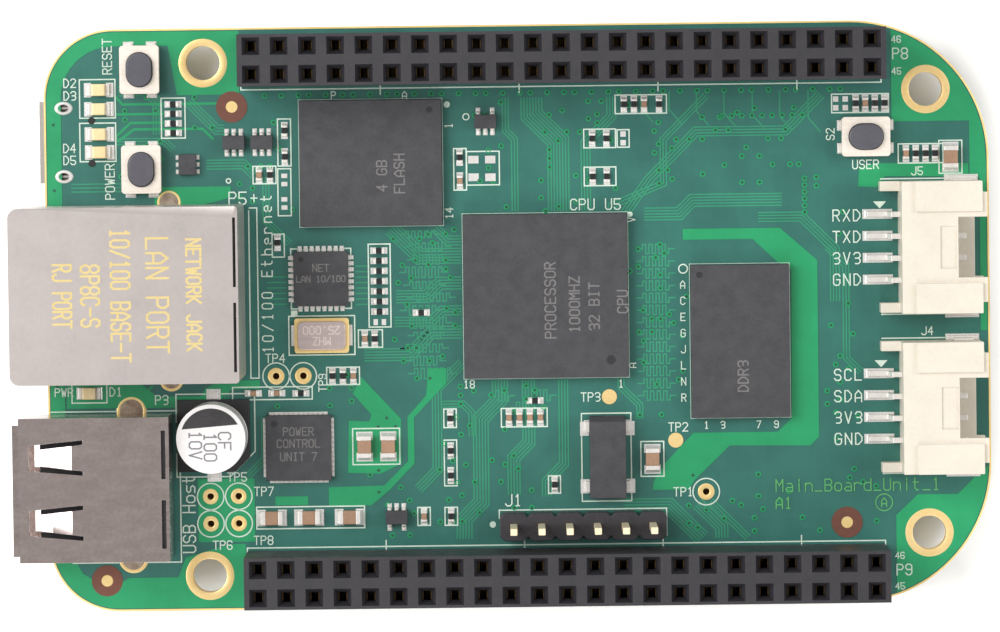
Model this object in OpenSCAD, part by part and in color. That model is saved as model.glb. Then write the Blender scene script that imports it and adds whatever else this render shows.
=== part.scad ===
// Single board computer: a circuit board with two rows of expansion sockets, an Ethernet jack, a USB host
// port, three push buttons, a memory card slot underneath and two four-way side-entry sockets.
// Origin: midway between the two mounting holes nearest the jack, on the board's underside.
// +X runs along the board away from the jack, +Y across it, +Z up through the components.

/* [Circuit board] */
// Length of the circuit board
board_l = 86.36; // [84:0.02:106]
// Width of the circuit board
board_w = 53.34; // [52:0.02:66]
// Thickness of the circuit board
board_t = 1.6; // [1.0:0.1:2.4]
// Radius of the two corners at the jack end
jack_end_corner_r = 6.35; // [4:0.05:8]
// Radius of the two corners at the socket end
socket_end_corner_r = 12.7; // [6:0.05:14]

/* [Mounting holes] */
// Diameter of the four mounting holes
mount_hole_d = 3.175; // [2.5:0.025:3.6]
// From the jack-end edge to the nearest two holes
mount_from_jack_edge = 14.605; // [12:0.005:16]
// From the socket-end edge to the other two holes
mount_from_socket_edge = 5.715; // [4:0.005:8]
// From the long edge to the jack-end holes
jack_end_hole_inset = 3.175; // [2.8:0.005:4]
// From the long edge to the socket-end holes
socket_end_hole_inset = 6.35; // [5:0.05:8]

/* [Expansion headers] */
// Distance between neighbouring header pins
header_pitch = 2.54; // [1.9:0.01:2.6]
// Contacts in each of the two rows of a header
header_columns = 23; // [4:1:23]
// From the long edge to the middle of a header
header_from_edge = 3.05; // [3:0.005:4]
// From the origin to the first column of contacts
header_first_x = 4.7625; // [4:0.0005:8]
// Height of a header's body
header_h = 8.5; // [5:0.1:11]
// Width of a header's body
header_w = 4.7; // [4.5:0.1:5.6]
// Side of a contact's square tail
header_tail = 0.64; // [0.4:0.02:0.7]
// How far a tail stands out below the board
header_tail_below = 1.6; // [1:0.1:3]
// Diameter of the board's hole for a tail
header_hole_d = 1.02; // [0.95:0.01:1.3]
// Side of the square lead-in at the top of a contact's cell
header_leadin = 1.6; // [1.1:0.05:1.7]
// Depth of that lead-in
header_leadin_depth = 1.0; // [0.2:0.1:1.1]

/* [Serial debug header] */
// Pins of the debug header
debug_pins = 6; // [2:1:8]
// Middle of the debug header, across and along the board
debug_at = [34.27, -19.2];
// Height of the debug header's base
debug_base_h = 2.5; // [1.5:0.1:3]
// Length of a pin above the base
debug_pin_h = 6.0; // [3:0.1:9]

/* [Ethernet jack] */
// Length of the jack's metal shield
jack_l = 20.5; // [20:0.1:25]
// Width of the shield
jack_w = 15.8; // [15.6:0.1:19]
// Height of the shield above the board
jack_h = 13.5; // [13:0.1:17]
// How far the jack overhangs the end of the board
jack_overhang = 2.3; // [0:0.1:4]
// Middle of the jack along the board's end
jack_y = 2.7; // [2.5:0.05:3.2]
// Thickness of the shield's sheet metal
shield_t = 0.25; // [0.15:0.05:0.4]
// Width of the opening for the plug
plug_w = 11.9; // [11.8:0.1:12.4]
// Height of the opening for the plug
plug_h = 7.6; // [7:0.1:8]
// Depth of the opening for the plug
plug_depth = 13; // [11:0.1:14]

/* [USB host port] */
// Length of the port's shell
usb_l = 13.6; // [13:0.1:17]
// Width of the shell
usb_w = 13.1; // [13:0.1:14]
// Height of the shell's top above the board
usb_h = 7.0; // [6.6:0.1:8.5]
// How far the shell overhangs the end of the board
usb_overhang = 2.2; // [0:0.1:4]
// Middle of the port along the board's end
usb_y = -15.05; // [-15.4:0.05:-14.8]
// Thickness of the shell
usb_shell_t = 0.3; // [0.2:0.05:0.4]
// Thickness of the plastic tongue
usb_tongue_t = 1.84; // [1.5:0.02:2.2]

/* [Micro USB socket, underneath] */
// Width of the socket's shell
micro_w = 7.5; // [6.9:0.1:8.2]
// Height of the shell
micro_h = 2.6; // [2.4:0.1:3.2]
// Length of the shell
micro_l = 5.6; // [4.7:0.1:7]
// Middle of the socket along the board's end
micro_y = 16.4; // [15.8:0.1:16.8]
// How far it stands out past the end of the board
micro_overhang = 0.6; // [0:0.1:1.5]

/* [Memory card slot, underneath] */
// Length of the slot along X
card_l = 14.6; // [14.6:0.1:18]
// Width of the slot along Y
card_w = 14.6; // [14.6:0.1:15.6]
// Height of the slot
card_h = 1.8; // [1.8:0.1:2.4]
// Middle of the slot along the board's end
card_y = -1.4; // [-3:0.1:1]
// Travel of the card's slider
card_travel = 3.0; // [1:0.1:3.2]
// Length of the slider
slider_l = 8.0; // [7.8:0.1:8.2]

/* [Push buttons] */
// Length of a button's metal cover
switch_l = 4.4; // [4.3:0.1:5.4]
// Width of a button's metal cover
switch_w = 3.6; // [3.5:0.1:4.4]
// Height of the button's plastic base
switch_base_h = 1.25; // [1.1:0.05:1.8]
// Thickness of the metal cover
switch_cover_t = 0.15; // [0.1:0.01:0.25]
// Length of the pressed oval
plunger_l = 3.1; // [2.5:0.05:3.2]
// Width of the pressed oval
plunger_w = 2.3; // [1.8:0.05:2.4]
// How far the oval stands above the cover
plunger_proud = 0.45; // [0.35:0.05:1.2]
// Gap between the oval and the cover's opening
plunger_gap = 0.07; // [0.03:0.01:0.12]
// Travel of a button
switch_travel = 0.25; // [0.1:0.01:0.3]

/* [Side-entry sockets] */
// Length of a socket's housing across the board
socket_w = 12.0; // [11:0.1:14.4]
// Depth of the housing along X
socket_d = 7.75; // [7:0.05:9.3]
// Height of the housing
socket_h = 5.6; // [5:0.1:6.8]
// From the socket's front to the end of the board
socket_setback = 0.6; // [0.2:0.1:2]
// Distance between a socket's pins
socket_pitch = 2.0; // [1.6:0.05:2.4]
// Middles of the two sockets along the board's end
uart_y = 5.95; // [5.5:0.05:8]
i2c_y = -8.65; // [-10:0.05:-8]

/* [Chip packages] */
// Side and height of the processor's package
processor_size = 15; // [12:0.5:16]
processor_h = 1.3; // [1.0:0.05:1.6]
// Length, width and height of the working memory
memory_size = [9, 14, 1.2];
// Length, width and height of the storage chip
storage_size = [13, 11.5, 1.2];
// Height of the solder balls under a chip
ball_h = 0.25; // [0.15:0.05:0.4]
// Diameter of a solder ball
ball_d = 0.42; // [0.3:0.02:0.5]

/* [Filter capacitor] */
// Diameter of the can
can_d = 6.3; // [5:0.1:6.4]
// Height of the can's top above the board
can_h = 5.8; // [5:0.1:8]

/* [Hidden] */

// Small clearance between pieces that fit inside each other, and the overshoot of a cut
fit = 0.05;
cut = 1;

// Ends and sides of the board
board_x0 = -mount_from_jack_edge;
board_x1 = board_x0 + board_l;
board_y1 = board_w / 2;
top = board_t;

// Mounting holes
mounts = [
    [0, board_y1 - jack_end_hole_inset], [0, -board_y1 + jack_end_hole_inset],
    [board_x1 - mount_from_socket_edge, board_y1 - socket_end_hole_inset],
    [board_x1 - mount_from_socket_edge, -board_y1 + socket_end_hole_inset]];

// Expansion headers
header_y = board_y1 - header_from_edge;
header_columns_x = [for (i = [0:header_columns - 1]) header_first_x + i * header_pitch];
header_rows = [-header_pitch / 2, header_pitch / 2];
header_l = header_columns * header_pitch;
header_x0 = header_first_x - header_pitch / 2;
cell_side = 1.3;
cell_roof = 1.2;
cell_mouth = 0.84;
leaf_t = 0.2;
leaf_w = 0.9;
leaf_gap = 0.3;
bridge_z = 0.3;
bridge_t = 0.4;

// Debug header
debug_x = [for (i = [0:debug_pins - 1]) debug_at.x + (i - (debug_pins - 1) / 2) * header_pitch];

// Ethernet jack
jack_x0 = board_x0 - jack_overhang;
jack_x1 = jack_x0 + jack_l;
jack_top = top + jack_h;
jack_front_r = 0.9;
jack_back_r = 0.3;
jack_standoff = 0.3;
plug_z0 = top + 2.2;
plug_z1 = plug_z0 + plug_h;
latch_w = 6.2;
latch_drop = 1.3;
jack_tab_x = -3.27;
jack_tab_w = 1.2;
jack_tab_hole_d = 1.7;
jack_post_x = -8.4;
jack_post_d = 3.0;
jack_post_spread = 11.4;
jack_pin_rows = [-1.4, 1.14];
jack_pin_pitch = 1.27;
jack_pin = 0.5;
jack_pin_hole_d = 0.9;
jack_wire_pitch = 1.02;
jack_wire = 0.4;
light_w = 2.6;
light_h = 1.9;
core_pitch = 3.1;
core_z = 8.2;
core_bore = 0.75;
core_wall = 0.75;
core_w = 1.2;
jack_below = 1.3;

// USB host port
usb_x0 = board_x0 - usb_overhang;
usb_x1 = usb_x0 + usb_l;
usb_z0 = top + 0.3;
usb_top = top + usb_h;
usb_tab_x = -6.98;
usb_tab_hole_d = 2.1;
usb_pins_y = [-3.5, -1, 1, 3.5];
usb_pin_x = usb_x1 - 1.1;
usb_tongue_z = (usb_z0 + usb_top) / 2 + 0.6;
usb_tongue_l = 8.6;
usb_tongue_w = 11.1;
usb_block_l = 3.2;
usb_contact_w = 1.0;
usb_contact_t = 0.25;
rear_slot_y = 3.15;
rear_slot_l = 4.4;

// Micro USB socket
micro_x0 = board_x0 - micro_overhang;
micro_t = 0.25;
micro_gap = 0.1;
micro_slant_w = 1.4;
micro_slant_h = 0.9;
micro_block_l = 1.2;
micro_tongue_w = 3.8;
micro_contact_w = 0.36;
micro_contact_pitch = 0.65;
micro_tab_spread = 6.25;
micro_tab_w = 1.0;
micro_tab_x = -12.83;
micro_slot_l = 1.3;
micro_slot_w = 0.7;

// Memory card slot: its own distances run from its inner end
card_x0 = board_x1 - 0.4 - card_l;
card_skin = 0.2;
card_plate = 0.35;
card_end_wall = 0.8;
card_channel_y0 = card_w / 2 - 2.2;
card_channel_y1 = card_w / 2 - 0.8;
card_floor_z = -card_h + card_skin;
thumb_notch_r = 3.4;
slider_front_wall = 1.1;
slider_x1 = card_l - slider_front_wall - 0.2;
slider_x0 = slider_x1 - slider_l;
spring_r = 0.42;
spring_wire = 0.14;
spring_turns = 9;
rod_side = 0.3;
rod_hook_x = slider_x0 + 2.2;
rod_pivot_x = card_l - slider_front_wall / 2;
rod_y = (card_channel_y0 + card_channel_y1) / 2;
card_pins = 8;
card_pin_pitch = 1.1;
card_pin_w = 0.6;

// Buttons: place and turn of each
reset_at = [-5.75, 22.95, 90];
power_at = [-5.7, 13.85, 90];
user_at = [60.5, 16.05, 0];
buttons = [reset_at, power_at, user_at];
switch_floor = 0.35;
plunger_flange = 0.22;
flange_t = 0.25;
dome_rise = switch_travel + 0.13;
dome_t = 0.08;
dome_d = 2.3;
terminal_l = 0.45;
terminal_w = 0.8;
terminal_spread = 1.05;

// Side-entry sockets
socket_x1 = board_x1 - socket_setback;
socket_x0 = socket_x1 - socket_d;
socket_wall = 1.0;
socket_floor = 0.9;
socket_roof = 0.8;
socket_strip = 2.75;
socket_strip_rise = 0.3;
socket_notch_w = 5.5;
socket_notch_l = 2.65;
socket_back = 1.9;
socket_pin = 0.5;
socket_pin_z = 2.6;
socket_ear_l = 1.75;
socket_ear_w = 0.9;
socket_ear_h = 2.0;
sockets_y = [uart_y, i2c_y];

// Chips: middle of each package
processor_at = [31.1, 1.85];
memory_at = [48.85, -2.5];
storage_at = [15.25, 14.2];
substrate_t = 0.25;
power_controller_at = [8.3, -11.8];
power_controller_size = 6;
ethernet_phy_at = [10.55, 3.65];
ethernet_phy_size = 5;
flat_pack_h = 0.85;
flat_pack_lead = 0.24;
crystal_at = [10.55, -1.55];
clock_crystal_at = [36.6, -12.95];
clock_crystal_size = [3.3, 7.5, 2.2];

// Small chips: middle, leads on the upper side, leads on the lower side
small_chips = [[2.74, 16.2, 3, 3], [5.3, 16.2, 3, 3], [25.75, 17.85, 2, 3], [17.2, -18.3, 3, 2]];
small_chip_size = [2.0, 1.25, 0.9];
small_chip_pitch = 0.65;
tiny_chip_at = [-1.52, 14.24];

// Filter capacitor
can_at = [0.55, -10.6];
can_base = 6.6;
can_base_h = 1.0;
can_corner = 1.3;

// Small two-ended parts: middle and turn. 0402 parts are 1.0 long and 0.5 wide, 0805 parts 2.0 by 1.25
small_size = [1.0, 0.5, 0.35];
large_size = [2.0, 1.25, 0.85];
end_cap = 0.24;
large_end_cap = 0.42;
function row(x, y, dx, dy, n, turn) = [for (i = [0:n - 1]) [x + i * dx, y + i * dy, turn]];
small_resistors = concat(
    row(-2.78, 19.76, 0, -0.87, 4, 0), row(15.87, 6.15, 0, -0.93, 7, 0),
    row(7.38, 17.25, 0, -2.4, 2, 90), row(38.45, 19.27, 0.93, 0, 2, 90), row(35.52, 16.17, 1.3, 0, 2, 90),
    row(35.52, 12.7, 1.3, 0, 2, 90), row(22.22, -9.3, 0, -2.98, 2, 90), row(11.47, -5.28, 0.96, 0, 2, 90),
    [[6.0, 13.2, 90], [23.37, 14.6, 90], [41.67, 19.25, 90], [59.65, 19.1, 90], [61.4, 19.1, 90],
     [62.28, 19.1, 90], [65.1, 14.45, 90], [66.0, 14.45, 90], [66.87, 14.45, 90], [15.39, -1.92, 90],
     [22.2, -14.55, 90], [22.2, -18.3, 90], [31.72, -15.5, 90], [6.6, 7.0, 90], [19.68, 0.42, 0],
     [8.56, -6.84, 0], [30.0, -7.77, 0]]);
small_capacitors = concat(
    row(27.6, -9.31, 0.96, 0, 4, 90), row(4.2, -6.8, 2.15, 0, 2, 0),
    [[5.0, 13.2, 90], [23.37, 12.45, 90], [40.3, 19.26, 90], [60.52, 19.1, 90], [64.2, 14.45, 90],
     [14.48, -1.9, 90], [13.39, -5.3, 90], [19.7, -18.28, 90]]);
large_capacitors = [[68.27, 14.1, 90], [14.32, -11.8, 90], [16.5, -11.8, 90], [40.7, -13.25, 90],
    [5.75, -18.25, 0], [9.16, -18.25, 0], [12.88, -18.25, 0]];
leds = [[-9.56, 21.15, 0], [-9.56, 19.4, 0], [-9.55, 17.1, 0], [-9.55, 15.45, 0], [-10.82, -6.62, 0]];
led_size = [2.0, 1.1, 0.35];
// Decoupling capacitors under the processor and the memory, on the board's underside
under_capacitors = concat(row(26.2, 6.2, 1.6, 0, 7, 90), row(26.2, -2.6, 1.6, 0, 7, 90),
    row(26.2, 1.8, 1.6, 0, 7, 90), row(46.6, 3, 0, -2.4, 5, 0), row(50.6, 3, 0, -2.4, 5, 0));
under_resistors = concat(row(12, 8, 2, 0, 4, 90), row(14, 15, 1.5, 0, 5, 90));
inductors = [[3.6, -12.2], [8.4, -12.2], [13.2, -12.2]];
inductor_size = [3.0, 3.0, 1.2];

// Test points with a plated hole
test_holes = [[0.15, -16.22], [2.73, -16.22], [0.15, -18.72], [2.73, -18.72], [6.31, -5.24], [8.8, -5.24],
    [45.6, -16.32]];
test_hole_d = 0.68;

// A block given by its range along each axis
module block(x, y, z) {
    translate([x[0], y[0], z[0]]) cube([x[1] - x[0], y[1] - y[0], z[1] - z[0]]);
}

// What is cut off to round a block's vertical edge, for the corner that faces +X and +Y
module edge_cut(r, h) {
    difference() {
        translate([-r, -r, -cut]) cube([r + cut, r + cut, h + 2 * cut]);
        translate([-r, -r, -2 * cut]) cylinder(r = r, h = h + 4 * cut, $fn = 64);
    }
}

// A block whose vertical edges are rounded: r gives (+X+Y), (-X+Y), (-X-Y), (+X-Y)
module rounded_block(x, y, z, r) {
    h = z[1] - z[0];
    difference() {
        block(x, y, z);
        translate([x[1], y[1], z[0]]) edge_cut(r[0], h);
        translate([x[0], y[1], z[0]]) rotate(90) edge_cut(r[1], h);
        translate([x[0], y[0], z[0]]) rotate(180) edge_cut(r[2], h);
        translate([x[1], y[0], z[0]]) rotate(270) edge_cut(r[3], h);
    }
}

// A profile drawn in X and Z, with a width along Y about y
module profile(y, w, points) {
    translate([0, y + w / 2, 0]) rotate([90, 0, 0]) linear_extrude(w) polygon(points);
}

// A profile drawn in Y and Z, from x0 to x1
module end_profile(x0, x1, points) {
    translate([x0, 0, 0]) rotate([90, 0, 90]) linear_extrude(x1 - x0) polygon(points);
}

// A stadium-shaped block about its own middle
module stadium(l, w, h) {
    union() {
        translate([-(l - w) / 2, -w / 2, 0]) cube([l - w, w, h]);
        for (side = [-1, 1]) translate([side * (l - w) / 2, 0, 0]) cylinder(d = w, h = h, $fn = 64);
    }
}

module hole(x, y, d) {
    translate([x, y, -cut]) cylinder(d = d, h = board_t + 2 * cut, $fn = 48);
}

// Puts a child on the board's top, or under it with its own Z pointing down
module on_top(at) {
    translate([at[0], at[1], top]) rotate(at[2] == undef ? 0 : at[2]) children();
}
module underneath(at) {
    translate([at[0], at[1], 0]) rotate([180, 0, 0]) rotate(at[2] == undef ? 0 : at[2]) children();
}

// ---- Circuit board ----
module circuit_board() {
    color([0.10, 0.45, 0.33]) difference() {
        rounded_block([board_x0, board_x1], [-board_y1, board_y1], [0, board_t],
            [socket_end_corner_r, jack_end_corner_r, jack_end_corner_r, socket_end_corner_r]);
        for (m = mounts) hole(m.x, m.y, mount_hole_d);
        for (side = [-1, 1]) for (x = header_columns_x) for (y = header_rows)
            hole(x, side * header_y + y, header_hole_d);
        for (x = debug_x) hole(x, debug_at.y, header_hole_d);
        for (t = test_holes) hole(t.x, t.y, test_hole_d);
        for (side = [-1, 1]) hole(jack_tab_x, jack_y + side * (jack_w / 2 + 0.2), jack_tab_hole_d);
        for (side = [-1, 1]) hole(jack_post_x, jack_y + side * jack_post_spread / 2, jack_post_d + 0.2);
        for (p = jack_pins_at) hole(p.x, p.y, jack_pin_hole_d);
        for (side = [-1, 1]) hole(usb_tab_x, usb_y + side * (usb_w / 2 + 0.2), usb_tab_hole_d);
        for (y = usb_pins_y) hole(usb_pin_x, usb_y + y, jack_pin_hole_d);
        for (side = [-1, 1]) translate([micro_tab_x, micro_y + side * micro_tab_spread / 2, -cut])
            stadium(micro_slot_l, micro_slot_w, board_t + 2 * cut);
    }
}

// ---- Expansion headers ----
// A square funnel that guides a pin into its cell; it runs on a little above the housing
module leadin_funnel() {
    flare = (header_leadin - cell_mouth) / header_leadin_depth;
    linear_extrude(header_leadin_depth + cut, scale = (header_leadin + flare * cut) / cell_mouth)
        square(cell_mouth, center = true);
}
module header_housing(y) {
    color([0.16, 0.15, 0.16]) difference() {
        block([header_x0, header_x0 + header_l], [y - header_w / 2, y + header_w / 2],
            [top, top + header_h]);
        for (x = header_columns_x) for (dy = header_rows) {
            block([x - cell_side / 2, x + cell_side / 2], [y + dy - cell_side / 2, y + dy + cell_side / 2],
                [top - cut, top + header_h - cell_roof]);
            block([x - cell_mouth / 2, x + cell_mouth / 2],
                [y + dy - cell_mouth / 2, y + dy + cell_mouth / 2], [top, top + header_h + cut]);
            translate([x, y + dy, top + header_h - header_leadin_depth]) leadin_funnel();
        }
    }
}

// Each contact is a square tail, a bridge in the cell's foot and two leaves that grip a pin
module header_contacts(y) {
    leaf_top = top + header_h - cell_roof - 0.3;
    bridge_top = top + bridge_z + bridge_t;
    leaf_x = leaf_gap + leaf_t / 2;
    color([0.93, 0.76, 0.38]) for (x = header_columns_x) for (dy = header_rows) translate([x, y + dy, 0])
        union() {
            block([-header_tail / 2, header_tail / 2], [-header_tail / 2, header_tail / 2],
                [-header_tail_below, top + bridge_z + bridge_t / 4]);
            block([-leaf_gap - leaf_t, leaf_gap + leaf_t], [-leaf_w / 2, leaf_w / 2],
                [top + bridge_z, bridge_top]);
            for (side = [-1, 1]) block([side * leaf_x - leaf_t / 2, side * leaf_x + leaf_t / 2],
                [-leaf_w / 2, leaf_w / 2], [bridge_top, leaf_top]);
        }
}
module upper_header_housing() { header_housing(header_y); }
module upper_header_contacts() { header_contacts(header_y); }
module lower_header_housing() { header_housing(-header_y); }
module lower_header_contacts() { header_contacts(-header_y); }

// ---- Serial debug header ----
module debug_header_base() {
    half = header_pitch / 2;
    bevel = 0.4;
    color([0.16, 0.15, 0.16]) difference() {
        union() for (x = debug_x) translate([x, debug_at.y, top]) linear_extrude(debug_base_h)
            polygon([[-half, -half + bevel], [-half + bevel, -half], [half - bevel, -half],
                [half, -half + bevel], [half, half - bevel], [half - bevel, half],
                [-half + bevel, half], [-half, half - bevel]]);
        for (x = debug_x) block([x - header_tail / 2, x + header_tail / 2],
            [debug_at.y - header_tail / 2, debug_at.y + header_tail / 2], [0, top + 2 * debug_base_h]);
    }
}
module debug_header_pins() {
    color([0.93, 0.76, 0.38]) for (x = debug_x) block([x - header_tail / 2, x + header_tail / 2],
        [debug_at.y - header_tail / 2, debug_at.y + header_tail / 2],
        [-header_tail_below + 0.2, top + debug_base_h + debug_pin_h]);
}

// ---- Ethernet jack ----
jack_pins_at = concat(
    [for (i = [0:7]) [jack_pin_rows[i % 2], jack_y + (i - 3.5) * jack_pin_pitch]],
    [for (y = [-6.4, -4.1, 4.1, 6.4]) [-12.6, jack_y + y]]);

module ethernet_jack_shield() {
    y0 = jack_y - jack_w / 2;
    y1 = jack_y + jack_w / 2;
    color([0.76, 0.74, 0.73]) union() {
        difference() {
            rounded_block([jack_x0, jack_x1], [y0, y1], [top + 0.1, jack_top],
                [jack_back_r, jack_front_r, jack_front_r, jack_back_r]);
            rounded_block([jack_x0 + shield_t, jack_x1 - shield_t], [y0 + shield_t, y1 - shield_t],
                [top - cut, jack_top - shield_t],
                [0.1, jack_front_r - shield_t, jack_front_r - shield_t, 0.1]);
            block([jack_x0 - cut, jack_x0 + cut], [jack_y - plug_w / 2 - 0.2, jack_y + plug_w / 2 + 0.2],
                [plug_z0 - latch_drop - 0.2, plug_z1 + 0.2]);
            for (side = [-1, 1]) block([jack_x0 - cut, jack_x0 + cut],
                [jack_y + side * light_y - light_w / 2 - 0.1, jack_y + side * light_y + light_w / 2 + 0.1],
                [light_z - 0.1, light_z + light_h + 0.1]);
            for (side = [-1, 1]) block([jack_x1 - 0.45, jack_x1 - 0.2],
                [jack_y + side * 3.8 - 3.1, jack_y + side * 3.8 + 3.1], [jack_top - cut, jack_top + cut]);
            for (side = [-1, 1]) for (z = [4.6, 7.2]) block([jack_x0 + 2.2, jack_x0 + 6.4],
                [jack_y + side * jack_w / 2 - 0.4, jack_y + side * jack_w / 2 + 0.4],
                [top + z, top + z + 0.3]);
        }
        for (side = [-1, 1]) block([jack_tab_x - jack_tab_w / 2, jack_tab_x + jack_tab_w / 2],
            [jack_y + side * (jack_w / 2 - shield_t / 2) - shield_t / 2,
             jack_y + side * (jack_w / 2 - shield_t / 2) + shield_t / 2], [-jack_below, top + 0.5]);
    }
}

light_y = plug_w / 2 - 0.1;
light_z = plug_z1 + 0.9;
magnetics_x0 = jack_x0 + plug_depth + 1.0;

module ethernet_jack_housing() {
    x0 = jack_x0 + shield_t + fit;
    x1 = jack_x1 - shield_t - fit;
    half = jack_w / 2 - shield_t - fit;
    roof = jack_top - shield_t - fit;
    color([0.13, 0.13, 0.14]) difference() {
        union() {
            rounded_block([x0, x1], [jack_y - half, jack_y + half], [top + jack_standoff, roof],
                [0.1, jack_front_r - shield_t, jack_front_r - shield_t, 0.1]);
            for (side = [-1, 1]) translate([jack_post_x, jack_y + side * jack_post_spread / 2, -0.6])
                cylinder(d = jack_post_d, h = top + jack_standoff + 0.8, $fn = 48);
        }
        block([x0 - cut, jack_x0 + plug_depth], [jack_y - plug_w / 2, jack_y + plug_w / 2],
            [plug_z0, plug_z1]);
        block([x0 - cut, jack_x0 + plug_depth], [jack_y - latch_w / 2, jack_y + latch_w / 2],
            [plug_z0 - latch_drop, plug_z0 + 0.1]);
        for (i = [0:7]) block([jack_x0 + 3.4, magnetics_x0 + 0.1], [wire_y(i) - 0.28, wire_y(i) + 0.28],
            [plug_z1 - 0.4, plug_z1 + 0.7]);
        for (side = [-1, 1]) block([x0 - cut, magnetics_x0 + 0.1],
            [jack_y + side * light_y - light_w / 2 - fit, jack_y + side * light_y + light_w / 2 + fit],
            [light_z - fit, light_z + light_h + fit]);
        block([magnetics_x0, x1 - 0.6], [jack_y - half + 0.8, jack_y + half - 0.8],
            [top + 1.4, roof - 0.8]);
        for (p = jack_pins_at) block([p.x - jack_pin / 2 - fit, p.x + jack_pin / 2 + fit],
            [p.y - jack_pin / 2 - fit, p.y + jack_pin / 2 + fit], [top - cut, top + 1.5]);
    }
}

function wire_y(i) = jack_y + (i - 3.5) * jack_wire_pitch;

// Spring wires that slope down and forward into the plug opening
module ethernet_jack_contacts() {
    back = magnetics_x0 + 0.4;
    tip = jack_x0 + 4.0;
    color([0.93, 0.76, 0.38]) for (i = [0:7]) profile(wire_y(i), jack_wire,
        [[back, plug_z1 + 0.2], [back, plug_z1 + 0.5], [jack_x0 + 11.4, plug_z1 + 0.5],
         [tip + 0.9, plug_z1 - 2.0], [tip, plug_z1 - 1.8], [tip, plug_z1 - 2.1],
         [tip + 0.9, plug_z1 - 2.3], [jack_x0 + 11.5, plug_z1 + 0.2]]);
}

module ethernet_jack_light_pipes() {
    color([0.75, 0.85, 0.55]) for (side = [-1, 1]) block([jack_x0 + 0.1, jack_x0 + 7],
        [jack_y + side * light_y - light_w / 2, jack_y + side * light_y + light_w / 2],
        [light_z, light_z + light_h]);
}

// Ring cores of the line transformers, standing in the rear of the housing
module ethernet_jack_transformers() {
    core_x = magnetics_x0 + 2.9;
    color([0.25, 0.2, 0.2]) for (i = [0:3]) translate([core_x, jack_y + (i - 1.5) * core_pitch, top + core_z])
        rotate([90, 0, 0]) rotate_extrude($fn = 48) translate([core_bore, -core_w / 2])
            square([core_wall, core_w]);
    color([0.2, 0.4, 0.25]) block([core_x - 2, core_x + 2], [jack_y - 6.4, jack_y + 6.4],
        [top + core_z - 2.1, top + core_z - 1.6]);
}

module ethernet_jack_pins() {
    color([0.8, 0.78, 0.74]) for (p = jack_pins_at) block([p.x - jack_pin / 2, p.x + jack_pin / 2],
        [p.y - jack_pin / 2, p.y + jack_pin / 2], [-jack_below, top + 1.5]);
}

// ---- USB host port ----
fork_l = 4.9;
fork_y = 2.95;
fork_dip = 0.75;
fork_x0 = usb_x0 + 0.9;
usb_lip = 0.55;
usb_lip_rise = 0.12;

// The window cut in the shell round a spring finger
module fork_window() {
    linear_extrude(4 * usb_shell_t) polygon([[0, -1.15], [fork_l, -1.6], [fork_l, 1.6], [0, 1.15]]);
}

// A spring finger: it widens to its root and dips into the port towards its rounded tip
module fork_finger() {
    t = usb_shell_t;
    root = fork_l + 0.4;
    tip_r = 0.8;
    tip = [for (a = [-75:15:75]) [0.5 + tip_r - tip_r * cos(a), tip_r * sin(a)]];
    intersection() {
        translate([0, 0, -2 * fork_dip]) linear_extrude(4 * fork_dip)
            polygon(concat(tip, [[root, 1.25], [root, -1.25]]));
        profile(0, 3, [[root, -t], [root, 0], [3.9, 0], [2.1, -0.6 * fork_dip], [0.4, -fork_dip],
            [0.4, -fork_dip - t], [2.1, -0.6 * fork_dip - t], [3.9, -t]]);
    }
}

module usb_host_shell() {
    y0 = usb_y - usb_w / 2;
    y1 = usb_y + usb_w / 2;
    t = usb_shell_t;
    color([0.78, 0.75, 0.74]) union() {
        difference() {
            block([usb_x0, usb_x1], [y0, y1], [usb_z0, usb_top]);
            block([usb_x0 - cut, usb_x1 - t], [y0 + t, y1 - t], [usb_z0 + t, usb_top - t]);
            for (side = [-1, 1]) {
                translate([fork_x0, usb_y + side * fork_y, usb_top - 2 * t]) fork_window();
                translate([fork_x0, usb_y + side * fork_y, usb_z0 - 2 * t]) fork_window();
                translate([usb_x1 - 0.7, usb_y + side * rear_slot_y - rear_slot_l / 2, usb_top - cut])
                    cube([0.4, rear_slot_l, 2 * cut]);
            }
            block([usb_x1 - 4, usb_x1 - t], [usb_y - 5.6, usb_y + 5.6], [usb_z0 - cut, usb_z0 + cut]);
        }
        for (side = [-1, 1]) translate([fork_x0, usb_y + side * fork_y, usb_top]) fork_finger();
        for (side = [-1, 1]) translate([fork_x0, usb_y + side * fork_y, usb_z0])
            mirror([0, 0, 1]) fork_finger();
        profile(usb_y, usb_w - 1.2, [[usb_x0, usb_top - t], [usb_x0, usb_top],
            [usb_x0 - usb_lip, usb_top + usb_lip_rise], [usb_x0 - usb_lip, usb_top - t + usb_lip_rise]]);
        profile(usb_y, usb_w - 1.2, [[usb_x0, usb_z0], [usb_x0, usb_z0 + t],
            [usb_x0 - usb_lip, usb_z0 + t - usb_lip_rise], [usb_x0 - usb_lip, usb_z0 - usb_lip_rise]]);
        for (side = [-1, 1]) block([usb_tab_x - 1.1, usb_tab_x + 1.1],
            [usb_y + side * (usb_w - t) / 2 - t / 2, usb_y + side * (usb_w - t) / 2 + t / 2],
            [top + fit, usb_z0 + 1]);
        for (side = [-1, 1]) block([usb_tab_x - 0.6, usb_tab_x + 0.6],
            [usb_y + side * (usb_w - t) / 2 - t / 2, usb_y + side * (usb_w - t) / 2 + t / 2],
            [-jack_below, top + 0.2]);
    }
}

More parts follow.
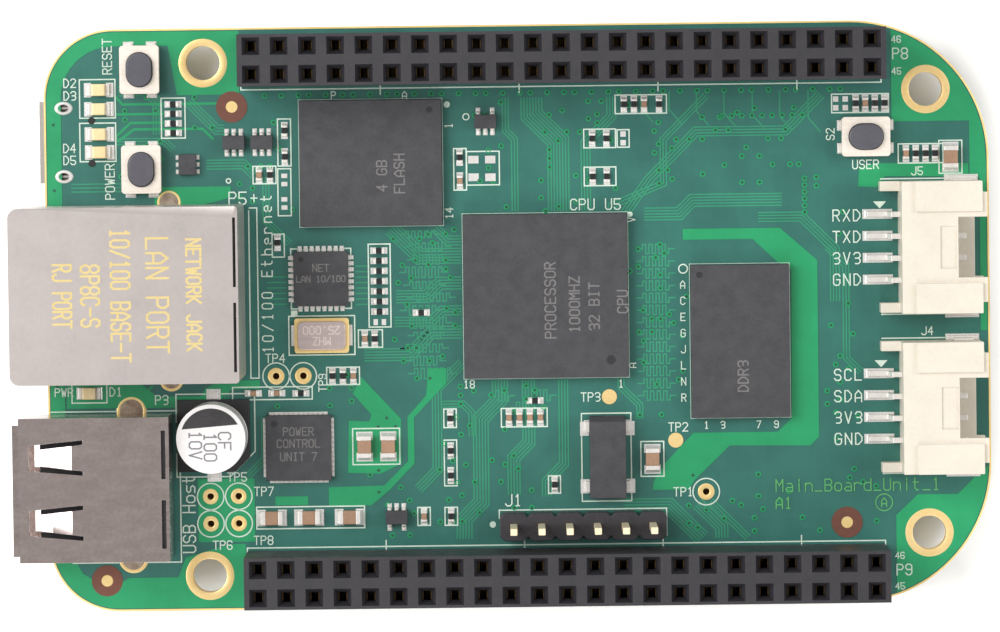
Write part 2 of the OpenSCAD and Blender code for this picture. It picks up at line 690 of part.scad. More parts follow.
// One contact: a strip along the tongue, a leg down behind it and a pin through the board
module usb_contact(y, grow) {
    w = usb_contact_w / 2 + grow;
    z = usb_tongue_z - usb_tongue_t / 2;
    union() {
        block([usb_x1 - usb_block_l - usb_tongue_l + 1.4 - grow, usb_pin_x + 0.25 + grow],
            [usb_y + y - w, usb_y + y + w], [z - grow, z + usb_contact_t + grow]);
        block([usb_pin_x - 0.25 - grow, usb_pin_x + 0.25 + grow],
            [usb_y + y - 0.25 - grow, usb_y + y + 0.25 + grow], [-jack_below - grow, z + grow]);
    }
}

module usb_host_insulator() {
    half = usb_w / 2 - usb_shell_t - fit;
    color([0.93, 0.92, 0.88]) difference() {
        union() {
            block([usb_x1 - usb_shell_t - usb_block_l, usb_x1 - usb_shell_t - fit],
                [usb_y - half, usb_y + half], [usb_z0 + usb_shell_t + fit, usb_top - usb_shell_t - fit]);
            block([usb_x1 - usb_block_l - usb_tongue_l, usb_x1 - usb_block_l],
                [usb_y - usb_tongue_w / 2, usb_y + usb_tongue_w / 2],
                [usb_tongue_z - usb_tongue_t / 2, usb_tongue_z + usb_tongue_t / 2]);
        }
        for (y = usb_pins_y) usb_contact(y, fit);
    }
}
module usb_host_contacts() {
    color([0.93, 0.76, 0.38]) for (y = usb_pins_y) usb_contact(y, 0);
}

// ---- Micro USB socket ----
// The D-shaped section of the socket, drawn in Y and Z below the board
function micro_section(inset) = let (w = micro_w / 2 - inset, h = micro_h - inset) [
    [micro_y - w, -micro_gap - inset], [micro_y + w, -micro_gap - inset], [micro_y + w, -h + micro_slant_h],
    [micro_y + w - micro_slant_w, -h], [micro_y - w + micro_slant_w, -h], [micro_y - w, -h + micro_slant_h]];

module micro_usb_shell() {
    color([0.78, 0.76, 0.75]) union() {
        difference() {
            end_profile(micro_x0, micro_x0 + micro_l, micro_section(0));
            end_profile(micro_x0 - cut, micro_x0 + micro_l - micro_t, micro_section(micro_t));
        }
        for (side = [-1, 1]) block([micro_tab_x - micro_tab_w / 2, micro_tab_x + micro_tab_w / 2],
            [micro_y + side * micro_tab_spread / 2 - micro_t / 2,
             micro_y + side * micro_tab_spread / 2 + micro_t / 2], [-micro_gap - micro_t / 2, board_t - 0.3]);
    }
}
module micro_usb_insulator() {
    w = micro_w / 2 - micro_t - fit;
    x1 = micro_x0 + micro_l - micro_t - fit;
    color([0.13, 0.13, 0.14]) difference() {
        union() {
            block([x1 - micro_block_l, x1], [micro_y - w, micro_y + w],
                [-(micro_h - micro_t) + micro_slant_h + fit, -micro_gap - micro_t - fit]);
            block([micro_x0 + 0.9, x1 - micro_block_l + fit],
                [micro_y - micro_tongue_w / 2, micro_y + micro_tongue_w / 2], [-1.0, -0.55]);
        }
        for (i = [-2:2]) micro_contact(i, 0.02);
    }
}
module micro_contact(i, grow) {
    y = micro_y + i * micro_contact_pitch;
    half = micro_contact_w / 2 + grow;
    block([micro_x0 + 1.2 - grow, micro_x0 + micro_l - micro_t - fit + grow], [y - half, y + half],
        [-1.05, -0.88 + grow]);
}
module micro_usb_contacts() {
    color([0.93, 0.76, 0.38]) for (i = [-2:2]) micro_contact(i, 0);
}

// ---- Memory card slot ----
module card_block(x, y, z) {
    block([card_x0 + x[0], card_x0 + x[1]], [card_y + y[0], card_y + y[1]], z);
}

module card_slot_cover() {
    half = card_w / 2;
    color([0.77, 0.76, 0.76]) difference() {
        card_block([0, card_l], [-half, half], [-card_h, -0.1]);
        card_block([-cut, card_l + cut], [-half + card_skin, half - card_skin], [card_floor_z, cut]);
        card_block([4.2, 6.2], [-4.5, -2.5], [-card_h - cut, 0]);
        card_block([4.2, 6.2], [0.2, 2.2], [-card_h - cut, 0]);
        translate([card_x0 + card_l, card_y - 0.7, -card_h - cut])
            cylinder(r = thumb_notch_r, h = 2 * cut - 0.2, $fn = 64);
    }
}

module card_slot_base() {
    half = card_w / 2 - card_skin - fit;
    color([0.14, 0.14, 0.15]) difference() {
        union() {
            card_block([0, card_l], [-half, half], [-card_plate, 0]);
            card_block([0, card_end_wall], [-half, half], [card_floor_z + fit, -card_plate]);
            card_block([0, card_l], [-half, -half + 0.75], [card_floor_z + fit, -card_plate]);
            card_block([0, card_l], [card_channel_y1 + fit, half], [card_floor_z + fit, -card_plate]);
            card_block([card_l - slider_front_wall, card_l], [card_channel_y0, half],
                [card_floor_z + fit, -card_plate]);
        }
        for (i = [0:card_pins - 1]) {
            card_block([-cut, 1.4], [card_pin_y(i) - 0.35, card_pin_y(i) + 0.35], [-0.55, cut]);
            card_block([1.2, 6.6], [card_pin_y(i) - 0.4, card_pin_y(i) + 0.4], [-card_plate - cut, cut]);
        }
        card_block([rod_pivot_x - 0.2, rod_pivot_x + 0.2], [rod_y - 0.2, rod_y + 0.2], [card_floor_z, -0.6]);
        card_block([rod_hook_x, rod_pivot_x + 0.2], [rod_y - 0.2, rod_y + 0.2],
            [card_floor_z, card_floor_z + 0.5]);
    }
}
function card_pin_y(i) = -1.55 + (i - (card_pins - 1) / 2) * card_pin_pitch;

module card_slot_contacts() {
    color([0.93, 0.76, 0.38]) for (i = [0:card_pins - 1]) translate([card_x0, 0, 0])
        profile(card_y + card_pin_y(i), card_pin_w,
            [[-0.9, -0.15], [-0.9, 0], [1.3, 0], [1.5, -0.15], [5.2, -0.75], [6.0, -0.55], [6.0, -0.7],
             [5.2, -0.9], [1.4, -0.3], [1.2, -0.15]]);
}

// The slider has a shoulder that the card pushes, and a groove for the cam rod
module card_slot_slider() {
    z0 = card_floor_z + 0.1;
    color([0.22, 0.22, 0.24]) difference() {
        union() {
            card_block([slider_x0, slider_x1], [card_channel_y0 + fit, card_channel_y1 - fit],
                [z0, -card_plate - 0.1]);
            card_block([slider_x0, slider_x0 + 1.1], [card_channel_y0 - 1.9, card_channel_y0 + 0.1],
                [z0, -card_plate - 0.25]);
        }
        card_block([rod_hook_x - 0.3, slider_x1 + cut], [rod_y - 0.25, rod_y + 0.25], [z0 - cut, z0 + 0.4]);
        card_block([rod_hook_x - 0.3, rod_hook_x + card_travel + 0.6], [rod_y - 0.25, rod_y + 0.25],
            [z0 - cut, z0 + 0.8]);
    }
}

// A coil spring along X between the end wall and the slider, as one swept tube
spring_l = slider_x0 - card_end_wall - 0.06;
spring_steps = 12;
spring_sides = 6;
function spring_ring(k) = let (n = spring_turns * spring_steps, a = 360 * k / spring_steps,
    x = spring_wire / 2 + (spring_l - spring_wire) * k / n)
    [for (j = [0:spring_sides - 1]) let (b = 360 * j / spring_sides,
        r = spring_r - spring_wire / 2 + spring_wire / 2 * cos(b))
        [x + spring_wire / 2 * sin(b), r * cos(a), r * sin(a)]];
module card_slot_spring() {
    n = spring_turns * spring_steps;
    s = spring_sides;
    points = [for (k = [0:n]) each spring_ring(k)];
    sides = [for (k = [0:n - 1]) for (j = [0:s - 1])
        each [[k * s + j, k * s + (j + 1) % s, (k + 1) * s + (j + 1) % s],
              [k * s + j, (k + 1) * s + (j + 1) % s, (k + 1) * s + j]]];
    ends = [[for (j = [s - 1:-1:0]) j], [for (j = [0:s - 1]) n * s + j]];
    color([0.8, 0.8, 0.8])
        translate([card_x0 + card_end_wall + 0.03, card_y + rod_y, (card_floor_z - card_plate) / 2])
        polyhedron(points, concat(sides, ends));
}

// The cam rod: its outer end turns in the base, its inner hook runs in the slider's groove
module card_slot_cam_rod() {
    z = card_floor_z + 0.1;
    color([0.8, 0.8, 0.8]) union() {
        card_block([rod_hook_x, rod_pivot_x + rod_side / 2], [rod_y - rod_side / 2, rod_y + rod_side / 2],
            [z, z + rod_side]);
        for (x = [rod_hook_x + rod_side / 2, rod_pivot_x]) card_block([x - rod_side / 2, x + rod_side / 2],
            [rod_y - rod_side / 2, rod_y + rod_side / 2], [z, z + 0.7]);
    }
}

// ---- Push buttons ----
module button_bases() {
    color([0.15, 0.15, 0.16]) for (b = buttons) on_top(b) difference() {
        l = switch_l - 2 * switch_cover_t - fit;
        w = switch_w - 2 * switch_cover_t - fit;
        translate([-l / 2, -w / 2, 0]) cube([l, w, switch_base_h]);
        translate([0, 0, switch_floor]) stadium(plunger_l + 2 * plunger_flange + 2 * fit,
            plunger_w + 2 * plunger_flange + 2 * fit, switch_base_h);
    }
}
module button_covers() {
    z1 = switch_base_h + switch_cover_t;
    color([0.88, 0.87, 0.84]) for (b = buttons) on_top(b) difference() {
        rounded_block([-switch_l / 2, switch_l / 2], [-switch_w / 2, switch_w / 2], [0.25, z1],
            [0.3, 0.3, 0.3, 0.3]);
        translate([-switch_l / 2 + switch_cover_t, -switch_w / 2 + switch_cover_t, 0])
            cube([switch_l - 2 * switch_cover_t, switch_w - 2 * switch_cover_t, switch_base_h]);
        translate([0, 0, switch_base_h - cut])
            stadium(plunger_l + 2 * plunger_gap, plunger_w + 2 * plunger_gap, 3 * cut);
    }
}
module button_terminals() {
    color([0.85, 0.84, 0.82]) for (b = buttons) on_top(b) for (sx = [-1, 1]) for (sy = [-1, 1])
        translate([sx * (switch_l / 2 + 0.075) - terminal_l / 2, sy * terminal_spread - terminal_w / 2, 0])
            cube([terminal_l, terminal_w, 0.2]);
}
module plunger(at) {
    z0 = switch_base_h - 0.03 - flange_t;
    color([0.3, 0.29, 0.32]) on_top(at) union() {
        translate([0, 0, z0])
            stadium(plunger_l + 2 * plunger_flange, plunger_w + 2 * plunger_flange, flange_t);
        translate([0, 0, z0]) stadium(plunger_l, plunger_w,
            flange_t + 0.03 + switch_cover_t + plunger_proud);
        translate([0, 0, switch_floor + dome_rise + 0.02])
            cylinder(d = 1.2, h = z0 - switch_floor - dome_rise + 0.1, $fn = 48);
    }
}
module reset_button_plunger() { plunger(reset_at); }
module power_button_plunger() { plunger(power_at); }
module user_button_plunger() { plunger(user_at); }

// A snap dome: a thin cap cut from a ball
module dome(at) {
    r = (dome_d * dome_d / 4 + dome_rise * dome_rise) / (2 * dome_rise);
    color([0.85, 0.85, 0.85]) on_top(at) translate([0, 0, switch_floor]) intersection() {
        translate([0, 0, dome_rise - r]) difference() {
            sphere(r = r, $fn = 96);
            sphere(r = r - dome_t, $fn = 96);
        }
        cylinder(d = dome_d + 1, h = dome_rise + 1, $fn = 64);
    }
}
module reset_button_dome() { dome(reset_at); }
module power_button_dome() { dome(power_at); }
module user_button_dome() { dome(user_at); }

// ---- Chips with solder balls ----
module chip_body(at, size) {
    z = top + ball_h + substrate_t;
    color([0.24, 0.24, 0.26]) block([at.x - size.x / 2, at.x + size.x / 2],
        [at.y - size.y / 2, at.y + size.y / 2], [z, top + size.z]);
}
module processor_package() { chip_body(processor_at, [processor_size, processor_size, processor_h]); }
module memory_package() { chip_body(memory_at, memory_size); }
module storage_package() { chip_body(storage_at, storage_size); }

module substrate(at, size) {
    block([at.x - size.x / 2, at.x + size.x / 2], [at.y - size.y / 2, at.y + size.y / 2],
        [top + ball_h, top + ball_h + substrate_t]);
}
module bga_substrates() {
    color([0.12, 0.22, 0.16]) {
        substrate(processor_at, [processor_size, processor_size]);
        substrate(memory_at, memory_size);
        substrate(storage_at, storage_size);
    }
}

// A grid of solder balls, leaving out the columns nearer than gap to the middle
module ball_grid(at, columns, rows, pitch, gap) {
    for (i = [0:columns - 1]) for (j = [0:rows - 1]) {
        x = (i - (columns - 1) / 2) * pitch;
        y = (j - (rows - 1) / 2) * pitch;
        if (abs(x) > gap) translate([at.x + x, at.y + y, top]) cylinder(d = ball_d, h = ball_h, $fn = 24);
    }
}
module bga_solder_balls() {
    color([0.8, 0.8, 0.8]) {
        ball_grid(processor_at, 18, 18, 0.8, -1);
        ball_grid(memory_at, 9, 16, 0.8, 1.5);
        ball_grid(storage_at, 14, 14, 0.8, -1);
    }
}

// ---- Flat chips with leads under their edges ----
module flat_pack(at, size) {
    color([0.22, 0.22, 0.24]) block([at.x - size / 2, at.x + size / 2], [at.y - size / 2, at.y + size / 2],
        [top + 0.2, top + flat_pack_h]);
}
module power_controller_package() { flat_pack(power_controller_at, power_controller_size); }
module ethernet_phy_package() { flat_pack(ethernet_phy_at, ethernet_phy_size); }
module lead_square(at, size, per_side, pitch) {
    for (turn = [0:90:270]) for (i = [0:per_side - 1]) on_top([at.x, at.y, turn])
        translate([size / 2 - 0.35, (i - (per_side - 1) / 2) * pitch - flat_pack_lead / 2, 0])
        cube([0.5, flat_pack_lead, 0.2]);
}
module flat_pack_leads() {
    color([0.82, 0.81, 0.8]) {
        lead_square(power_controller_at, power_controller_size, 12, 0.45);
        lead_square(ethernet_phy_at, ethernet_phy_size, 8, 0.55);
    }
}

// ---- Crystals ----
module crystal_base() {
    color([0.92, 0.8, 0.55]) on_top(crystal_at) rounded_block([-2.5, 2.5], [-1.6, 1.6], [0, 0.55],
        [0.25, 0.25, 0.25, 0.25]);
}
module crystal_lid() {
    color([0.85, 0.82, 0.75]) on_top(crystal_at) rounded_block([-2.2, 2.2], [-1.3, 1.3], [0.55, 0.9],
        [0.5, 0.5, 0.5, 0.5]);
}
module clock_crystal_package() {
    s = clock_crystal_size;
    color([0.17, 0.15, 0.15]) on_top(clock_crystal_at) difference() {
        translate([-s.x / 2, -s.y / 2, 0.15]) cube([s.x, s.y, s.z - 0.15]);
        translate([-s.x / 2 - cut, s.y / 2 - 0.5, s.z]) rotate([-45, 0, 0]) cube([s.x + 2 * cut, 1.2, 1.2]);
    }
}

// ---- Small chips with bent leads ----
function small_leads(c) = concat(
    [for (i = [0:c[2] - 1]) [(c[2] == 2 ? 2 * i - 1 : i - 1) * small_chip_pitch, 1]],
    [for (i = [0:c[3] - 1]) [(c[3] == 2 ? 2 * i - 1 : i - 1) * small_chip_pitch, -1]]);
module small_chip_packages() {
    s = small_chip_size;
    color([0.22, 0.22, 0.24]) {
        for (c = small_chips) on_top([c[0], c[1]]) translate([-s.x / 2, -s.y / 2, 0.1]) cube([s.x, s.y, s.z]);
        on_top(tiny_chip_at) translate([-0.8, -0.95, 0.05]) cube([1.6, 1.9, 0.7]);
    }
}
module small_chip_leads() {
    color([0.85, 0.84, 0.82]) {
        for (c = small_chips) for (lead = small_leads(c)) on_top([c[0], c[1]])
            rotate(lead[1] > 0 ? 90 : -90) profile(-lead[0] * lead[1], 0.25,
                [[small_chip_size.y / 2, 0.4], [small_chip_size.y / 2, 0.55],
                 [small_chip_size.y / 2 + 0.2, 0.55], [small_chip_size.y / 2 + 0.3, 0.15],
                 [small_chip_size.y / 2 + 0.55, 0.15], [small_chip_size.y / 2 + 0.55, 0],
                 [small_chip_size.y / 2 + 0.2, 0], [small_chip_size.y / 2 + 0.08, 0.4]]);
        for (sx = [-1, 1]) for (i = [-1:1]) on_top(tiny_chip_at)
            translate([sx * 0.9 - 0.1, i * 0.65 - 0.13, 0]) cube([0.2, 0.26, 0.15]);
        for (sx = [-1, 1]) for (sy = [-1, 1]) on_top(clock_crystal_at)
            translate([sx * (clock_crystal_size.x / 2 + 0.2) - 0.2, sy * 2.75 - 0.5, 0]) cube([0.4, 1, 0.9]);
    }
}

// ---- Filter capacitor ----
module capacitor_base() {
    half = can_base / 2;
    color([0.12, 0.11, 0.12]) on_top(can_at) difference() {
        linear_extrude(can_base_h) polygon([[-half, -half], [half - can_corner, -half],
            [half, -half + can_corner], [half, half], [-half, half]]);
        translate([0, 0, can_base_h - 0.4]) cylinder(d = can_d + 0.04, h = cut, $fn = 96);
    }
}
module capacitor_can() {
    color([0.9, 0.9, 0.9]) on_top(can_at) difference() {
        translate([0, 0, can_base_h - 0.4]) cylinder(d = can_d, h = can_h - can_base_h + 0.4, $fn = 96);
        translate([0, 0, can_base_h + 0.5]) rotate_extrude($fn = 96) translate([can_d / 2 + 0.08, 0])
            circle(r = 0.35, $fn = 32);
    }
}
module capacitor_leads() {
    color([0.85, 0.84, 0.82]) for (side = [-1, 1]) on_top(can_at)
        translate([-0.4, side * (can_base / 2 + 0.35) - 0.35, 0]) cube([0.8, 0.7, 0.15]);
}

// ---- Lights ----
module status_led_bodies() {
    color([0.93, 0.9, 0.82]) for (l = leds) on_top(l) translate([-led_size.x / 2 + 0.3, -led_size.y / 2, 0])
        cube([led_size.x - 0.6, led_size.y, led_size.z]);
}
module status_led_lenses() {
    color([0.95, 0.9, 0.7]) for (l = leds) on_top(l) translate([-0.6, -led_size.y / 2, led_size.z])
        cube([1.2, led_size.y, 0.4]);
}

// ---- Two-ended parts ----
module part_body(s, end) {
    translate([-s.x / 2 + end, -s.y / 2, 0]) cube([s.x - 2 * end, s.y, s.z]);
}
module part_ends(s, end) {
    for (side = [-1, 1]) translate([side * (s.x - end) / 2 - end / 2, -s.y / 2, 0]) cube([end, s.y, s.z]);
}
module ceramic_capacitor_bodies() {
    color([0.72, 0.6, 0.48]) {
        for (p = small_capacitors) on_top(p) part_body(small_size, end_cap);
        for (p = large_capacitors) on_top(p) part_body(large_size, large_end_cap);
        for (p = under_capacitors) underneath(p) part_body(small_size, end_cap);
    }
}
module chip_resistor_bodies() {
    color([0.12, 0.12, 0.12]) {
        for (p = small_resistors) on_top(p) part_body(small_size, end_cap);
        for (p = under_resistors) underneath(p) part_body(small_size, end_cap);
    }
}
module chip_end_caps() {
    color([0.86, 0.85, 0.84]) {
        for (p = concat(small_resistors, small_capacitors)) on_top(p) part_ends(small_size, end_cap);
        for (p = large_capacitors) on_top(p) part_ends(large_size, large_end_cap);
        for (p = concat(under_resistors, under_capacitors)) underneath(p) part_ends(small_size, end_cap);
        for (p = leds) on_top(p) part_ends(led_size, 0.3);
    }
}
module power_inductors() {
    s = inductor_size;
    color([0.3, 0.3, 0.32]) for (p = inductors) underneath(p) union() {
        translate([0, 0, 0.15]) rounded_block([-s.x / 2, s.x / 2], [-s.y / 2, s.y / 2], [0, s.z - 0.15],
            [0.5, 0.5, 0.5, 0.5]);
        for (side = [-1, 1]) translate([side * 0.95 - 0.4, -1.3, 0]) cube([0.8, 2.6, 0.2]);
    }
}

// ---- Side-entry sockets ----
// Drawn with X from the back of the housing, Y from its middle and Z from the board
module socket_housing(y) {
    half = socket_w / 2;
    flat = socket_h - socket_strip_rise;
    color([0.93, 0.91, 0.86]) translate([socket_x0, y, top]) difference() {
        union() {
            block([0, socket_d], [-half, half], [0, flat]);
            for (side = [-1, 1]) block([1.25, socket_d - 0.45],
                [side * (half - socket_strip / 2) - socket_strip / 2,
                 side * (half - socket_strip / 2) + socket_strip / 2], [flat - 0.1, socket_h]);
            for (side = [-1, 1]) block([-socket_ear_l, 0.1],
                [side * (half - socket_ear_w / 2) - socket_ear_w / 2,
                 side * (half - socket_ear_w / 2) + socket_ear_w / 2], [0, socket_ear_h]);
        }
        block([socket_back, socket_d + cut], [-half + socket_wall, half - socket_wall],
            [socket_floor, flat - socket_roof]);
        block([socket_d - socket_notch_l, socket_d + cut], [-socket_notch_w / 2, socket_notch_w / 2],
            [flat - socket_roof - 0.1, socket_h + cut]);
        block([socket_d - 0.8, socket_d + cut], [-socket_notch_w / 2, socket_notch_w / 2],
            [-cut, socket_floor + 0.1]);
        block([socket_d - socket_notch_l - 1.6, socket_d - socket_notch_l - 0.1], [-1.9, 1.9],
            [flat - 0.15, flat + cut]);
        for (side = [-1, 1]) block([socket_d - 0.45, socket_d + cut],
            [side * (half + 0.5) - 1.5, side * (half + 0.5) + 1.5], [-cut, socket_h + cut]);
        for (i = [0:3]) block([-cut, socket_back + cut],
            [socket_pin_y(i) - socket_pin / 2, socket_pin_y(i) + socket_pin / 2],
            [socket_pin_z - socket_pin / 2, socket_pin_z + socket_pin / 2]);
    }
}
function socket_pin_y(i) = (i - 1.5) * socket_pitch;
module uart_socket_housing() { socket_housing(uart_y); }
module i2c_socket_housing() { socket_housing(i2c_y); }

// Each pin runs straight into the housing, and bends down behind it to a foot on the board
module side_socket_pins() {
    h = socket_pin / 2;
    color([0.84, 0.82, 0.8]) for (y = sockets_y) for (i = [0:3]) translate([socket_x0, y, top])
        profile(socket_pin_y(i), socket_pin,
            [[6.0, socket_pin_z - h], [6.0, socket_pin_z + h], [-0.8, socket_pin_z + h],
             [-1.1, socket_pin_z - h], [-1.1, 0.4], [-2.8, 0.4], [-2.8, 0], [-0.6, 0],
             [-0.6, socket_pin_z - h]]);
}
module side_socket_anchors() {
    color([0.84, 0.82, 0.8]) for (y = sockets_y) for (side = [-1, 1]) translate([socket_x0, y, top]) union() {
        block([4.4, 7.2], [side * (socket_w / 2 + 0.2) - 0.2, side * (socket_w / 2 + 0.2) + 0.2], [0, 0.3]);
        block([4.9, 6.7], [side * (socket_w / 2 + 0.1) - 0.1, side * (socket_w / 2 + 0.1) + 0.1], [0.3, 1.8]);
    }
}

circuit_board();
upper_header_housing();
upper_header_contacts();
lower_header_housing();
lower_header_contacts();
debug_header_base();
debug_header_pins();
ethernet_jack_shield();
ethernet_jack_housing();
ethernet_jack_contacts();
ethernet_jack_light_pipes();
ethernet_jack_transformers();
ethernet_jack_pins();
usb_host_shell();
usb_host_insulator();
usb_host_contacts();
micro_usb_shell();
micro_usb_insulator();
micro_usb_contacts();
card_slot_cover();
card_slot_base();
card_slot_contacts();
card_slot_slider();
card_slot_spring();
card_slot_cam_rod();
button_bases();
button_covers();
button_terminals();
reset_button_plunger();
power_button_plunger();
user_button_plunger();
reset_button_dome();
power_button_dome();
user_button_dome();
processor_package();
memory_package();
storage_package();
bga_substrates();
bga_solder_balls();
power_controller_package();
ethernet_phy_package();
flat_pack_leads();
crystal_lid();
crystal_base();
clock_crystal_package();
small_chip_packages();
small_chip_leads();
capacitor_can();
capacitor_base();
capacitor_leads();
status_led_bodies();
status_led_lenses();
ceramic_capacitor_bodies();
chip_resistor_bodies();
chip_end_caps();
power_inductors();
uart_socket_housing();
i2c_socket_housing();
side_socket_pins();
side_socket_anchors();
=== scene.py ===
import math
import random

import bpy
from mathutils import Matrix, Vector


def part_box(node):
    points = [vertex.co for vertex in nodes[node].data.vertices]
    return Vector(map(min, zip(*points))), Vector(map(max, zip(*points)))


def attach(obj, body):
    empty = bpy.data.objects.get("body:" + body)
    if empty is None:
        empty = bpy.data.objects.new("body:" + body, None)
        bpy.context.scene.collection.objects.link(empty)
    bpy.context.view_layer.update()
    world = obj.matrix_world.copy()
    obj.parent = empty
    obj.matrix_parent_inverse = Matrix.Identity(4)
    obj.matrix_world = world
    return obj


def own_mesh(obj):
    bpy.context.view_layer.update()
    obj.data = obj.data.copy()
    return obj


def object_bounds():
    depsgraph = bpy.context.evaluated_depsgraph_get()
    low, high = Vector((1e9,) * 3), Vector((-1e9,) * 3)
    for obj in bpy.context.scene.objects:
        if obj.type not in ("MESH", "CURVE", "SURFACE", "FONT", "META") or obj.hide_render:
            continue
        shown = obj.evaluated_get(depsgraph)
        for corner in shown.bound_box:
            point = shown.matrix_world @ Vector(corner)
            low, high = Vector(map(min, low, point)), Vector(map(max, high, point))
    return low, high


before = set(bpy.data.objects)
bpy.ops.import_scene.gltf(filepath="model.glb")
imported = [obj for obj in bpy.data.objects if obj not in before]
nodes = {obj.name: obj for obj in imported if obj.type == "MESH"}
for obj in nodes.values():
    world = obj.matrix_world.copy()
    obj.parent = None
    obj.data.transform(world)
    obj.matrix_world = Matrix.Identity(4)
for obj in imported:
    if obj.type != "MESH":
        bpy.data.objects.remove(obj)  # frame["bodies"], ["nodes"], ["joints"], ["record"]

cad_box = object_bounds()


# ---- Bare circuit board -------------------------------------------------------------------------
# Glass-fibre laminate with a copper layer each side under a semi-gloss green solder mask.
# It is routed from a panel, so the tan laminate shows along its edge and in its drilled holes.

def colour(red, green, blue):
    """A paint-chart colour (0 to 255 for each part) as the linear colour that a shader takes."""
    def linear(part):
        share = part / 255
        return share / 12.92 if share <= 0.04045 else ((share + 0.055) / 1.055) ** 2.4
    return linear(red), linear(green), linear(blue), 1.0


def effect_group(name, inputs):
    """An empty effect with named inputs, which puts out a colour, a roughness and a height."""
    group = bpy.data.node_groups.new(name, "ShaderNodeTree")
    for label, kind, value in inputs:
        socket = group.interface.new_socket(label, in_out="INPUT", socket_type="NodeSocket" + kind)
        socket.default_value = value
    group.interface.new_socket("Colour", in_out="OUTPUT", socket_type="NodeSocketColor")
    group.interface.new_socket("Roughness", in_out="OUTPUT", socket_type="NodeSocketFloat")
    group.interface.new_socket("Height", in_out="OUTPUT", socket_type="NodeSocketFloat")
    return group, group.nodes.new("NodeGroupInput"), group.nodes.new("NodeGroupOutput")


def noise_at(group, vector, scale, detail=3.0):
    """A noise texture in a group; scale is a socket or a number of cells per metre."""
    noise = group.nodes.new("ShaderNodeTexNoise")
    noise.inputs["Detail"].default_value = detail
    group.links.new(vector, noise.inputs["Vector"])
    if isinstance(scale, float):
        noise.inputs["Scale"].default_value = scale
    else:
        group.links.new(scale, noise.inputs["Scale"])
    return noise.outputs["Fac"]


def sum_of(group, kind, first, second):
    """A maths node in a group; each side is a socket or a number."""
    node = group.nodes.new("ShaderNodeMath")
    node.operation = kind
    for i, side in enumerate((first, second)):
        if isinstance(side, float):
            node.inputs[i].default_value = side
        else:
            group.links.new(side, node.inputs[i])
    return node.outputs[0]


def blend_of(group, share, first, second):
    """A colour mix in a group; each colour is a socket."""
    node = group.nodes.new("ShaderNodeMix")
    node.data_type = "RGBA"
    group.links.new(share, node.inputs[0])
    group.links.new(first, node.inputs[6])
    group.links.new(second, node.inputs[7])
    return node.outputs[2]


def sharpened(group, value, low, high):
    """A value stretched so that low becomes 0 and high becomes 1."""
    node = group.nodes.new("ShaderNodeMapRange")
    node.inputs["From Min"].default_value = low
    node.inputs["From Max"].default_value = high
    group.links.new(value, node.inputs["Value"])
    return node.outputs["Result"]


# Fine mottling, for mask, moulded plastic, ceramic and plated metal
grain, grain_in, grain_out = effect_group("fine_grain", [
    ("Colour 1", "Color", (0.5, 0.5, 0.5, 1)), ("Colour 2", "Color", (0.4, 0.4, 0.4, 1)),
    ("Scale", "Float", 4000.0), ("Roughness", "Float", 0.5), ("Spread", "Float", 0.1)])
where = grain.nodes.new("ShaderNodeTexCoord").outputs["Object"]
broad = noise_at(grain, where, sum_of(grain, "MULTIPLY", grain_in.outputs["Scale"], 0.12), 2.0)
fine = noise_at(grain, where, grain_in.outputs["Scale"], 4.0)
both = sum_of(grain, "ADD", sum_of(grain, "MULTIPLY", broad, 0.55), sum_of(grain, "MULTIPLY", fine, 0.45))
share = sharpened(grain, both, 0.36, 0.64)
grain.links.new(blend_of(grain, share, grain_in.outputs["Colour 1"], grain_in.outputs["Colour 2"]),
    grain_out.inputs["Colour"])
rough_shift = sum_of(grain, "MULTIPLY", sum_of(grain, "SUBTRACT", both, 0.5), grain_in.outputs["Spread"])
shifted = sum_of(grain, "ADD", grain_in.outputs["Roughness"], sum_of(grain, "MULTIPLY", rough_shift, 4.0))
grain.links.new(shifted, grain_out.inputs["Roughness"])
grain.links.new(fine, grain_out.inputs["Height"])


def finish(name, group, values, bump=0.2, depth=0.00003, **sockets):
    """A material that takes its colour, roughness and height from an effect, and the rest as given."""
    made = bpy.data.materials.new(name)
    made.use_nodes = True
    tree = made.node_tree
    shader = tree.nodes["Principled BSDF"]
    effect = tree.nodes.new("ShaderNodeGroup")
    effect.node_tree = group
    for label, value in values.items():
        effect.inputs[label].default_value = value
    relief = tree.nodes.new("ShaderNodeBump")
    relief.inputs["Strength"].default_value = bump
    relief.inputs["Distance"].default_value = depth
    tree.links.new(effect.outputs["Colour"], shader.inputs["Base Color"])
    tree.links.new(effect.outputs["Roughness"], shader.inputs["Roughness"])
    tree.links.new(effect.outputs["Height"], relief.inputs["Height"])
    tree.links.new(relief.outputs["Normal"], shader.inputs["Normal"])
    for label, value in sockets.items():
        shader.inputs[label.replace("_", " ").title()].default_value = value
    return made


def grained(name, first, second, roughness, spread=0.08, scale=4000.0, **rest):
    """Most of the board's materials: two close colours mottled together."""
    return finish(name, grain, {"Colour 1": colour(*first), "Colour 2": colour(*second),
        "Scale": scale, "Roughness": roughness, "Spread": spread}, **rest)


def dress(material, *names, soften=0.0, steps=2, dissolve=True):
    """Puts a material on CAD nodes, and rounds their edges by a radius in millimetres."""
    for name in names:
        made = nodes[name]
        made.data.materials.clear()
        made.data.materials.append(material)
        if soften:
            made.modifiers.new("weld", "WELD").merge_threshold = 1e-6
            if dissolve:
                flat = made.modifiers.new("flat", "DECIMATE")
                flat.decimate_type = "DISSOLVE"
                flat.angle_limit = math.radians(1)
            edge = made.modifiers.new("edge", "BEVEL")
            edge.width = soften / 1000
            edge.segments = steps
            edge.limit_method = "ANGLE"
            edge.angle_limit = math.radians(40)
            edge.harden_normals = True


def box_mm(node):
    """The lowest and highest corners of a CAD node, in millimetres."""
    return [corner * 1000 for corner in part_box(node)]


